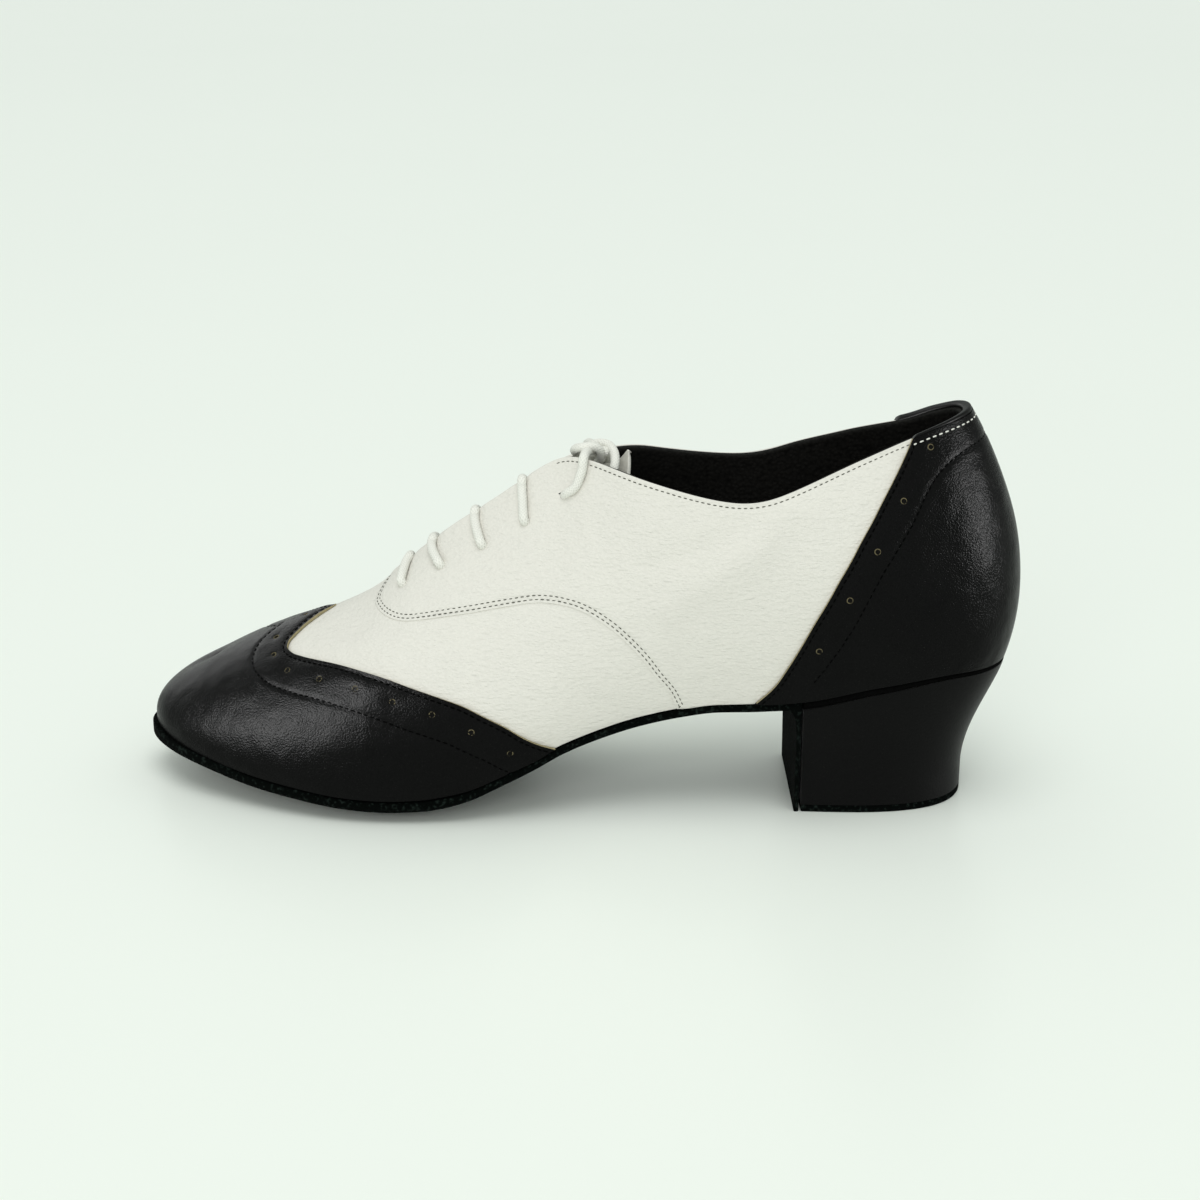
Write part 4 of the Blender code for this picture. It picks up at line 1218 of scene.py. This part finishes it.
def make_heel():
    """The covered heel block and its suede top piece, as outlines stacked from the seat to the floor."""
    station, side = heel_seat(sole_value("ledge", HEEL_SEAT_STATION))
    seat = underside(station, 0.0) - SEAT_CLEARANCE
    floor = TOP_PIECE_WALL + SEAT_CLEARANCE
    rings = []
    for depth in np.linspace(0, 1, 40):
        level_station, level_side = heel_level(station, side, depth)
        rings.append(place(level_station, level_side, seat + (floor - seat) * depth))
    block = add_rings("covered_heel", np.array(rings), [look("heel")])
    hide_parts("heel_block")
    foot_station, foot_side = heel_level(station, side, 1.0)
    levels = []
    for height, inward in TOP_PIECE_EDGE:
        pull = 1 - inward / TOP_PIECE_REACH
        levels.append(place(HEEL_MIDDLE + (foot_station - HEEL_MIDDLE) * pull, foot_side * pull, height))
    piece = add_rings("suede_top_piece", np.array(levels), [look("suede")], sharp=70.0)
    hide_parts("heel_top_piece")


def make_rand():
    """The thin layer between the heel's seat and the upper: a plate with rounded edges."""
    ribs = np.concatenate([np.linspace(0.03, 1, 24) ** 2, np.linspace(1.05, BREAST_RIB, 60)])
    across = across_steps(9, RAND_ROUNDING)
    ledge = sole_value("ledge", outline(ribs)[0])
    rings = plate_rings(ribs, ledge, underside, sole_thickness, across, RAND_ROUNDING)
    # The rand's darkness is partly its black edge, partly painted shade for the gap under the counter
    made = add_rings("heel_seat_rand_layer", rings, [look("edge")], sharp=70.0)
    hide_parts("heel_seat_rand")


def make_sock():
    """The insole under its black sock: a plate inside the foot of the upper."""
    ends = np.array([0.25, 0.4, 0.6])
    ribs = np.concatenate([ends, np.linspace(0.8, TOE - 0.8, 150), TOE - ends[::-1]])

    def lowest(station, across):
        return underside(station, across) + sole_thickness(station) + SOCK_GAP

    def thickness(station):
        return np.full_like(station, SOCK_WALL)

    across = across_steps(17, PLATE_ROUNDING)
    rings = plate_rings(ribs, -SOCK_INSET, lowest, thickness, across, PLATE_ROUNDING)
    made = add_rings("sock_lined_insole", rings, [look("lining")], sharp=70.0)
    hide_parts("insole")


# Pieces of the upper

def stitch_lines():
    """Every stitch row and pared rim as lines on the wall, outer side first."""
    counter_end = float(panel_line("counter", 1.0))
    return {
        "wing_rim": edge_lines("wing", 0.0, 1.0),
        "wing_edge": edge_lines("wing", EDGE_ROW, 1.0),
        "wing_inner": edge_lines("wing", WING_INNER_ROW, 1.0),
        "counter_rim": edge_lines("counter", 0.0, -1.0),
        "counter_edge": edge_lines("counter", EDGE_ROW, -1.0),
        "counter_inner": table_lines(COUNTER_INNER_ROW),
        "counter_top": top_lines(0.0, counter_end, BINDING_ROW),
        "seam_rim": edge_lines("seam", 0.0, -1.0),
        "seam_front": edge_lines("seam", SEAM_ROWS[0], -1.0),
        "seam_back": edge_lines("seam", SEAM_ROWS[1], -1.0),
        "collar": top_lines(counter_end + COLLAR_GAP, COLLAR_END_RIB, COLLAR_ROW),
    }


def creases(lift):
    """The white leather's creases on both sides, at a height off the wall."""
    found = []
    for places, depth, width in CREASES:
        ribs, ups = through(places, CREASE_STEPS).T
        lifts = np.full(CREASE_STEPS, lift)
        found.append((skin(ribs, ups, lifts), depth, width))
        found.append((skin(LOOP - ribs, ups, lifts), depth * INNER_CREASE_SHARE, width))
    return found


def lace_prints(lift):
    """Troughs under the lace bars on both facings."""
    found = []
    for rib, up, lean in LACE_HOLES:
        way = np.linspace(0, 1, PRINT_STEPS)
        ribs = rib + lean * np.sin(math.pi / 2 * way)
        for side_ribs in (ribs, LOOP - ribs):
            line = skin(side_ribs, up + (1 - up) * way, np.full(PRINT_STEPS, lift))
            found.append((line, *LACE_PRINT))
    return found


def relief_of(panel, lines):
    """A panel's grooves: along its rows, in its holes and, on white leather, its creases."""
    lift, holes, dish = {
        "wing": (WING_LIFT[0], WING_HOLES, HOLE_DISH),
        "counter": (COUNTER_LIFT[0], COUNTER_HOLES, HOLE_DISH),
        "quarter": (QUARTER_LIFT[0], [row[:2] for row in LACE_HOLES] + [LACE_RUN[0]], LACE_HOLE_DISH),
    }[panel]
    found = creases(lift) + lace_prints(lift) if panel == "quarter" else []
    for row, depth, width in PANEL_RELIEF[panel]:
        for ribs, ups in lines[row]:
            found.append((skin(ribs, ups, np.full(len(ribs), lift)), depth, width))
    ribs, ups = np.array(holes).T
    for side_ribs in (ribs, LOOP - ribs):
        found.append((skin(side_ribs, ups, np.full(len(ribs), lift)), *dish))
    return found


def sheet_grids(ribs, ups, lifts, grooves):
    """Face and back of a sheet on the wall, with grooves and slow swells on its face."""
    return face_of(ribs, ups, lifts[0], grooves), skin(ribs, ups, np.full(ribs.shape, lifts[1]))


def make_vamp():
    """The white vamp: from under the quarters' seam to under the wing, over the ridge."""
    up = np.linspace(0, 1, 100)
    start = panel_line("seam", up) - TUCK_RIBS * (1 - smooth_step(*VAMP_TUCK_END, up))
    ribs, ups = over_grid(start, panel_line("wing", up) + TUCK_RIBS, up, 110)
    face, back = sheet_grids(ribs, ups, VAMP_LIFT, creases(VAMP_LIFT[0]))
    looks = [look("white"), look("lining"), look("white")]
    made = add_sheet("white_vamp", face, back, looks, FOLDED_EDGE)
    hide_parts("upper")


def make_quarters():
    """The white quarters: one on each side, from under the counter to the seam, with a rolled top edge."""
    up = np.linspace(0, 1, 110)
    grooves = relief_of("quarter", stitch_lines())
    for name in ("outer", "inner"):
        ribs, ups = side_grid(panel_line("counter", up) - TUCK_RIBS, panel_line("seam", up), up, 190)
        if name == "inner":
            ribs = LOOP - ribs
        face, back = sheet_grids(ribs, ups, QUARTER_LIFT, grooves)
        looks = [look("white"), look("lining"), look("white")]
        made = add_sheet(f"white_quarter_{name}", face, back, looks, ROLLED_EDGE)
        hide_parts("upper")


def make_lining():
    """The black lining: the whole inside of the wall, joined along the ridge, thick towards the leather."""
    ribs = np.linspace(0, LOOP, 331)[:-1]
    up = np.linspace(0.0, 1.0, 60)
    grid_ribs, grid_ups = np.meshgrid(ribs, up, indexing="ij")
    collar = 1 - smooth_step(*LINING_FALL, np.minimum(grid_ribs, LOOP - grid_ribs))
    grid_ups = grid_ups * (1 + LINING_RISE * collar)
    face = skin(grid_ribs, grid_ups, np.full(grid_ribs.shape, LINING_LIFT[0]))
    faces = grid_quads(len(ribs), len(up), wrap=True)
    made = add_piece("black_lining", face, faces, [look("lining")])
    shell = made.modifiers.new("wall", "SOLIDIFY")
    shell.thickness = (LINING_LIFT[1] - LINING_LIFT[0]) * MM
    shell.offset = 1.0
    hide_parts("upper")


def make_tongue():
    """The tongue: sections under the facings, rounded across by a spline, then a tip behind the knot."""
    shares = np.array(TONGUE_SHARES)
    rows = []
    for rib in np.linspace(THROAT_RIB - 0.2, TONGUE_TURN_RIB, 40):
        ribs = np.full(len(shares), rib)
        outer = wall(ribs, shares) - TONGUE_DEPTH * wall_normal(ribs, shares)
        inner = wall(LOOP - ribs, shares) - TONGUE_DEPTH * wall_normal(LOOP - ribs, shares)
        middle = (outer[-1] + inner[-1]) / 2
        rows.append(through(np.concatenate([outer, middle[None], inner[::-1]]), 49))
    tip = [rows[-1]]
    for back, rise in TONGUE_TIP:
        tip.append(rows[-1] + np.array([back, 0.0, rise]))
    rows = np.concatenate([np.array(rows[:-1]), through(np.array(tip), 24)])
    face = rows[::-1]
    normal = unit(np.cross(np.gradient(face, axis=1), np.gradient(face, axis=0)))
    normal *= np.where(normal[..., 2:] < 0, -1.0, 1.0)
    # Its face takes the greyed white: painted shade
    looks = [look("tongue"), look("lining"), look("white")]
    made = add_sheet("white_tongue", face, face - TONGUE_WALL * normal, looks, FOLDED_EDGE)
    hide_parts("tongue")


def ease_ridge(grid):
    """A grid over the ridge with its middle rows drawn to the mean of their neighbours, again and again.

    The pull is a cosine window across the rows and grows along the columns from the inner stitch row on, so
    that both sides meet without a kink where no stitch or hole lies.
    """
    columns, rows = grid.shape[:2]
    across = np.clip(np.abs(np.arange(rows) - rows // 2) / RIDGE_ROWS, 0, 1)
    along = np.clip((np.linspace(0, 1, columns) - RIDGE_START) / RIDGE_GROWTH, 0, 1)
    pull = (along[:, None] * np.cos(math.pi / 2 * across) ** 2)[..., None]
    for _ in range(RIDGE_PASSES):
        mean = (np.roll(grid, 1, axis=1) + np.roll(grid, -1, axis=1)) / 2
        grid = grid + pull * (mean - grid)
    return grid


def make_wing():
    """The black toe wing: over the ridge from its scalloped edge to the middle of the toe."""
    up = np.linspace(OVERLAY_FOOT, 1, 110)
    ribs, ups = over_grid(panel_line("wing", up), np.full_like(up, TOE), up, 150)
    face, back = sheet_grids(ribs, ups, WING_LIFT, relief_of("wing", stitch_lines()))
    face, back = ease_ridge(face), ease_ridge(back)
    looks = [look("black"), look("cut"), look("cut")]
    made = add_sheet("black_toe_wing", face, back, looks, CUT_EDGE, joined_end=True)
    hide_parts("toe_wing")


def make_counter():
    """The black heel counter: round the back between its slanting front edges."""
    up = np.linspace(OVERLAY_FOOT, 1, 110)
    line = panel_line("counter", up)
    ribs, ups = side_grid(-line, line, up, 170)
    face, back = sheet_grids(ribs, ups, COUNTER_LIFT, relief_of("counter", stitch_lines()))
    looks = [look("black"), look("cut"), look("cut")]
    made = add_sheet("black_heel_counter", face, back, looks, CUT_EDGE)
    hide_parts("heel_counter")


def make_binding():
    """The rolled edge over the counter's top: an oval along the rim of the wall, thinner at both ends."""
    end = float(panel_line("counter", 1.0))
    way = np.linspace(-1, 1, 140)
    ribs = np.mod(way * end, LOOP)
    full = np.ones_like(ribs)
    out = wall_normal(ribs, full)
    rise = unit(wall(ribs, full) - wall(ribs, 0.97 * full))
    taper = BINDING_END_SHARE + (1 - BINDING_END_SHARE) * np.cos(math.pi / 2 * way)
    taper *= np.sqrt(np.clip((1.0005 - np.abs(way)) / BINDING_TIP, 0.01, 1))
    angle = 2 * math.pi * np.arange(20) / 20
    wide = np.sign(np.cos(angle)) * np.abs(np.cos(angle)) ** BINDING_POWER * BINDING_WIDTH / 2
    tall = np.sign(np.sin(angle)) * np.abs(np.sin(angle)) ** BINDING_POWER * BINDING_HEIGHT / 2
    rim = wall(ribs, full) + BINDING_OUT * out + (BINDING_HEIGHT / 2 * taper - BINDING_SINK)[:, None] * rise
    rings = rim[:, None] + wide[:, None] * out[:, None]
    rings = rings + taper[:, None, None] * tall[:, None] * rise[:, None]
    made = add_rings("rolled_collar_edge", rings, [look("polished")], sharp=60.0)
    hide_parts("collar_binding")


# Stitches and holes

def add_stitches(name, rows, look_name, length, thickness):
    """Stitch rows as one piece: capsules half sunk in the leather."""
    points, faces, start = [], [], 0
    template = stitch_template()
    lines = stitch_lines()
    for row, panel, lift, pitch in rows:
        spots = spots_on(lines[row], pitch, lift, relief_of(panel, lines))
        made, listed = copies(template, spots, (length, thickness / 2, thickness / 2))
        points.append(made)
        faces += [[corner + start for corner in face] for face in listed]
        start += len(made)
    return add_piece(name, np.concatenate(points), faces, [look(look_name)], merge=False, sharp=80.0)


def add_dots(name, spots, rings, radius, look_name):
    """Round dots on the leather, each a small dish of rings."""
    points, faces = copies(disc_template(rings), spots, (radius, radius, 1.0))
    return add_piece(name, points, faces, [look(look_name)], merge=False, sharp=80.0)


def make_stitches():
    """All stitch rows: black on the black panels, olive on the white ones, white under the rolled edge."""
    sizes = bpy.context.scene.shoe_sizes
    pitch, seam = sizes.stitch_pitch / MM, sizes.seam_pitch / MM
    thick = sizes.stitch_thickness / MM
    lifts = {"wing": WING_LIFT[0], "counter": COUNTER_LIFT[0]}
    black = []
    for row in BLACK_ROWS:
        panel = row.split("_")[0]
        black.append((row, panel, lifts[panel], pitch))
    length = STITCH_SHARE["black"] * pitch
    add_stitches("black_stitches", black, "black_thread", length, thick)
    # The olive-grey of these rows is partly painted shade of their stitch holes
    olive = [(row, "quarter", QUARTER_LIFT[0], seam) for row in ("seam_front", "seam_back", "collar")]
    length = STITCH_SHARE["olive"] * seam
    add_stitches("seam_stitches", olive, "olive_thread", length, FINE_THREAD * thick)
    white = [("counter_top", "counter", COUNTER_LIFT[0], pitch)]
    length = STITCH_SHARE["white"] * pitch
    add_stitches("white_stitches", white, "white_thread", length, thick)


def make_holes():
    """The punched holes: a tan cut rim and a dark floor of painted shade, on the wing and the counter, and
    the lace holes.
    """
    lines = stitch_lines()
    wing = spots_at(WING_HOLES, WING_LIFT[0], relief_of("wing", lines))
    counter = spots_at(COUNTER_HOLES, COUNTER_LIFT[0], relief_of("counter", lines))
    both = [np.concatenate(pair) for pair in zip(wing, counter)]
    radius = bpy.context.scene.shoe_sizes.punched_hole / MM / 2
    add_dots("punched_rims", both, PUNCHED_RIM, radius, "hole_rim")
    add_dots("punched_floors", both, PUNCHED_FLOOR, radius, "hole")
    places = [(rib, up - LACE_HOLE_DROP) for rib, up, _ in LACE_HOLES]
    places.append((LACE_RUN[0][0], LACE_RUN[0][1] - LACE_HOLE_DROP))
    spots = spots_at(places, QUARTER_LIFT[0], relief_of("quarter", lines))
    add_dots("lace_holes", spots, LACE_HOLE_FLOOR, LACE_HOLE_DIAMETER / 2, "hole")


# The lace

def facing(rib, up, lift, inner):
    """A place over the facing of one side."""
    return skin(LOOP - np.asarray(rib) if inner else np.asarray(rib), np.asarray(up), lift)


def make_bars():
    """The lace bars: out of a hole, up the facing, over the throat and down into the hole across."""
    thick = bpy.context.scene.shoe_sizes.lace_diameter / MM
    rest = QUARTER_LIFT[0] + thick / 2
    # Shares of the way from a hole to the throat's edge, and how high over the wall the lace runs there
    way = np.array([0.0, 0.0, 0.04, 0.15, 0.45, 0.75, 1.0])
    lifts = np.array([-1.6, 0.1, 1.2, rest - 0.6, rest - 0.6, rest - 0.7, rest - 1.1])
    paths = []
    for rib, up, lean in LACE_HOLES:
        ribs = rib + lean * np.sin(math.pi / 2 * way)
        ups = up + (1.0 - up) * way
        outer = facing(ribs, ups, lifts, False)
        inner = facing(ribs, ups, lifts, True)
        paths.append(through(np.concatenate([outer, inner[::-1]]), 90))
    made = add_tubes("lace_bars", paths, thick, look("cotton"))
    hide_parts("lace_bar_1", "lace_bar_2", "lace_bar_3", "lace_bar_4")


def cord_path(inner, run, crossing, end):
    """A lace's route: out of the top hole, over the facing's edge, through the knot and down inside."""
    thick = bpy.context.scene.shoe_sizes.lace_diameter / MM
    rest = QUARTER_LIFT[0] + thick / 2
    ribs, ups = np.array(LACE_RUN).T
    lifts = np.array([0.0, rest - 0.6, rest - 0.3, rest - 0.2, rest, rest + 0.2])
    hold = facing(ribs, ups, lifts, inner)
    points = np.concatenate([hold, place(*np.array(run + crossing + end).T)])
    return through(points, 110)


def make_cords():
    """The free lace of each side with the knot between them."""
    thick = bpy.context.scene.shoe_sizes.lace_diameter / MM
    turns = [through(place(*np.array(turn).T), 20 * len(turn)) for turn in KNOT_TURNS]
    knot = add_tubes("lace_knot_turns", turns, thick, look("cotton"))
    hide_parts("lace_knot")
    routes = {
        "outer": (OUTER_RUN, OUTER_CROSSING, OUTER_END),
        "inner": (INNER_RUN, INNER_CROSSING, INNER_END),
    }
    for name, route in routes.items():
        path = cord_path(name == "inner", *route)
        made = add_tubes(f"lace_{name}", [path], thick, look("cotton"))
        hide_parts(f"lace_run_{name}", f"lace_end_{name}")


# The studio

def add_light(name, kind, energy, aim, azimuth, elevation, distance):
    """A white light that shines on a place from an azimuth and an elevation."""
    data = bpy.data.lights.new(name, kind)
    data.energy = energy
    made = bpy.data.objects.new(name, data)
    bpy.context.scene.collection.objects.link(made)
    turn, rise = math.radians(azimuth), math.radians(elevation)
    toward = np.array([math.sin(turn) * math.cos(rise), -math.cos(turn) * math.cos(rise), math.sin(rise)])
    made.location = np.array(aim) + distance * toward
    made.rotation_euler = (math.pi / 2 - rise, 0.0, turn)
    return made


def shine_on_black(light):
    """Let a light shine on the black leather only, so that white leather and floor take no glare from it."""
    lit = bpy.data.collections.new(light.name + "_lit")
    for piece in bpy.data.objects:
        looks = piece.data.materials if piece.type == "MESH" else []
        if looks and looks[0].name in BLACK_LEATHERS:
            lit.objects.link(piece)
    light.light_linking.receiver_collection = lit


def add_panel(name, radiance, wide, tall, aim, azimuth, elevation):
    """A light panel a fixed way off that draws highlights on the black leather and nothing else."""
    energy = radiance * math.pi * wide * tall
    made = add_light(name, "AREA", energy, aim, azimuth, elevation, PANEL_DISTANCE)
    made.data.shape = "RECTANGLE"
    made.data.size = wide
    made.data.size_y = tall
    made.visible_diffuse = False
    shine_on_black(made)


def make_camera():
    """The camera, looking level across the shoe's outer side from above, as in the picture."""
    data = bpy.data.cameras.new("camera")
    data.lens = CAMERA_LENS
    data.sensor_width = SENSOR_WIDTH
    data.clip_start = NEAREST_SEEN
    made = bpy.data.objects.new("camera", data)
    bpy.context.scene.collection.objects.link(made)
    back = np.array([0.0, -math.cos(CAMERA_ELEVATION), math.sin(CAMERA_ELEVATION)])
    made.location = (place(*CAMERA_TARGET) + CAMERA_DISTANCE * back) * MM
    made.rotation_euler = (math.pi / 2 - CAMERA_ELEVATION, 0.0, 0.0)
    bpy.context.scene.camera = made


def make_floor():
    """A wide pale floor."""
    side = FLOOR_REACH
    mesh = bpy.data.meshes.new("studio_floor")
    corners = [(-side, -side, 0.0), (side, -side, 0.0), (side, side, 0.0), (-side, side, 0.0)]
    mesh.from_pydata(corners, [], [(0, 1, 2, 3)])
    mesh.materials.append(look("floor"))
    made = bpy.data.objects.new("studio_floor", mesh)
    bpy.context.scene.collection.objects.link(made)


def make_light():
    """A dim even surround, two soft suns and the panels that draw the black leather's highlights."""
    scene = bpy.context.scene
    scene.view_settings.view_transform = "Standard"
    world = bpy.data.worlds.new("studio")
    scene.world = world
    world.use_nodes = True
    sky = world.node_tree.nodes["Background"]
    sky.inputs["Color"].default_value = (*scene.shoe_colours.surround, 1.0)
    sky.inputs["Strength"].default_value = SURROUND_STRENGTH
    for name, strength, azimuth, elevation, width, glossy in SUNS:
        sun = add_light(name, "SUN", strength, (0.0, 0.0, 0.0), azimuth, elevation, SUN_DISTANCE)
        sun.data.angle = math.radians(width)
        sun.visible_glossy = glossy
    for panel in PANELS:
        add_panel(*panel)


# The add-on

def length_setting(label, what, default):
    """A length property whose default is given in millimetres."""
    return FloatProperty(name=label, description=what, default=default * MM, unit="LENGTH", precision=4)


def colour_setting(label, what, code):
    """A colour property whose default is an sRGB hex colour."""
    return FloatVectorProperty(name=label, description=what, default=linear(code), subtype="COLOR")


class ShoeSizes(bpy.types.PropertyGroup):
    """Sizes of the shoe's trimmings."""

    lace_diameter: length_setting("Lace diameter", "Thickness of the round lace", 2.7)
    stitch_pitch: length_setting("Stitch pitch", "Distance from stitch to stitch", 2.0)
    seam_pitch: length_setting("Seam pitch", "Distance from stitch to stitch on the white leather", 1.7)
    stitch_thickness: length_setting("Stitch thickness", "Thickness of the sewing thread", 0.5)
    punched_hole: length_setting("Punched hole", "Diameter of the dark part of a punched hole", 1.2)


class ShoeColours(bpy.types.PropertyGroup):
    """Colours of the shoe's materials."""

    white: colour_setting("White leather", "Vamp and quarters", "DFDCD5")
    # The tongue's grey is painted shade for the shadow of the knot on its face
    tongue: colour_setting("Tongue", "The tongue's dull face", "BDBBB2")
    black: colour_setting("Black leather", "Wing, counter, edge, rand and heel", "121212")
    suede: colour_setting("Suede", "Sole, flap and top piece", "1C2320")
    cut: colour_setting("Cut edge", "Raw edges of the black leather", "A89C78")
    lining: colour_setting("Lining", "The shoe's inside", "22211F")
    lace: colour_setting("Lace", "Lace and white thread", "EAE9E2")
    black_thread: colour_setting("Black thread", "Thread on the black leather", "010101")
    # The olive thread's dark grey is partly its own tone, partly painted shade of the stitch holes along the
    # seams
    olive_thread: colour_setting("Olive thread", "Thread on the white leather", "55554C")
    floor: colour_setting("Floor", "The studio's floor", "F1F5EF")
    surround: colour_setting("Surround", "Dim light from all round", "F2FAF4")


class SHOE_OT_lace(bpy.types.Operator):
    """Run the lace through its holes, with its knot and tucked ends"""

    bl_idname = "shoe.lace"
    bl_label = "Lace"

    def execute(self, context):
        make_cords()
        make_bars()
        return {"FINISHED"}


class SHOE_OT_upper(bpy.types.Operator):
    """Make the white vamp, quarters and tongue, the lining and the insole"""

    bl_idname = "shoe.upper"
    bl_label = "Upper"

    def execute(self, context):
        make_vamp()
        make_quarters()
        make_lining()
        make_tongue()
        make_sock()
        return {"FINISHED"}


class SHOE_OT_overlays(bpy.types.Operator):
    """Make the black toe wing, heel counter and rolled collar edge"""

    bl_idname = "shoe.overlays"
    bl_label = "Black overlays"

    def execute(self, context):
        make_wing()
        make_counter()
        make_binding()
        return {"FINISHED"}


class SHOE_OT_bottom(bpy.types.Operator):
    """Make the suede sole, the rand, the covered heel and its top piece"""

    bl_idname = "shoe.bottom"
    bl_label = "Sole and heel"

    def execute(self, context):
        make_sole()
        make_rand()
        make_heel()
        return {"FINISHED"}


class SHOE_OT_trim(bpy.types.Operator):
    """Sew the stitch rows and punch the holes"""

    bl_idname = "shoe.trim"
    bl_label = "Stitches and holes"

    def execute(self, context):
        make_stitches()
        make_holes()
        return {"FINISHED"}


class SHOE_OT_studio(bpy.types.Operator):
    """Set the camera, the pale floor and the soft light"""

    bl_idname = "shoe.studio"
    bl_label = "Studio"

    def execute(self, context):
        make_camera()
        make_floor()
        make_light()
        return {"FINISHED"}


class SHOE_PT_panel(bpy.types.Panel):
    """The shoe's sizes, colours and operators"""

    bl_idname = "SHOE_PT_panel"
    bl_label = "Ballroom dance shoe"
    bl_space_type = "VIEW_3D"
    bl_region_type = "UI"
    bl_category = "Shoe"

    def draw(self, context):
        for group in (context.scene.shoe_sizes, context.scene.shoe_colours):
            for name in group.__annotations__:
                self.layout.prop(group, name)
        for operator in OPERATORS:
            self.layout.operator(operator.bl_idname)


OPERATORS = (SHOE_OT_lace, SHOE_OT_upper, SHOE_OT_overlays, SHOE_OT_bottom, SHOE_OT_trim, SHOE_OT_studio)
CLASSES = (ShoeSizes, ShoeColours, *OPERATORS, SHOE_PT_panel)


def register():
    """Register the classes and hang the sizes and colours on the scene."""
    for made in CLASSES:
        bpy.utils.register_class(made)
    bpy.types.Scene.shoe_sizes = PointerProperty(type=ShoeSizes)
    bpy.types.Scene.shoe_colours = PointerProperty(type=ShoeColours)


def unregister():
    """Take the sizes and colours off the scene and unregister the classes."""
    del bpy.types.Scene.shoe_colours
    del bpy.types.Scene.shoe_sizes
    for made in reversed(CLASSES):
        bpy.utils.unregister_class(made)


def main():
    """Register and make everything in order."""
    register()
    bpy.ops.shoe.lace()
    bpy.ops.shoe.upper()
    bpy.ops.shoe.overlays()
    bpy.ops.shoe.bottom()
    bpy.ops.shoe.trim()
    bpy.ops.shoe.studio()


if __name__ == "__main__":
    main()
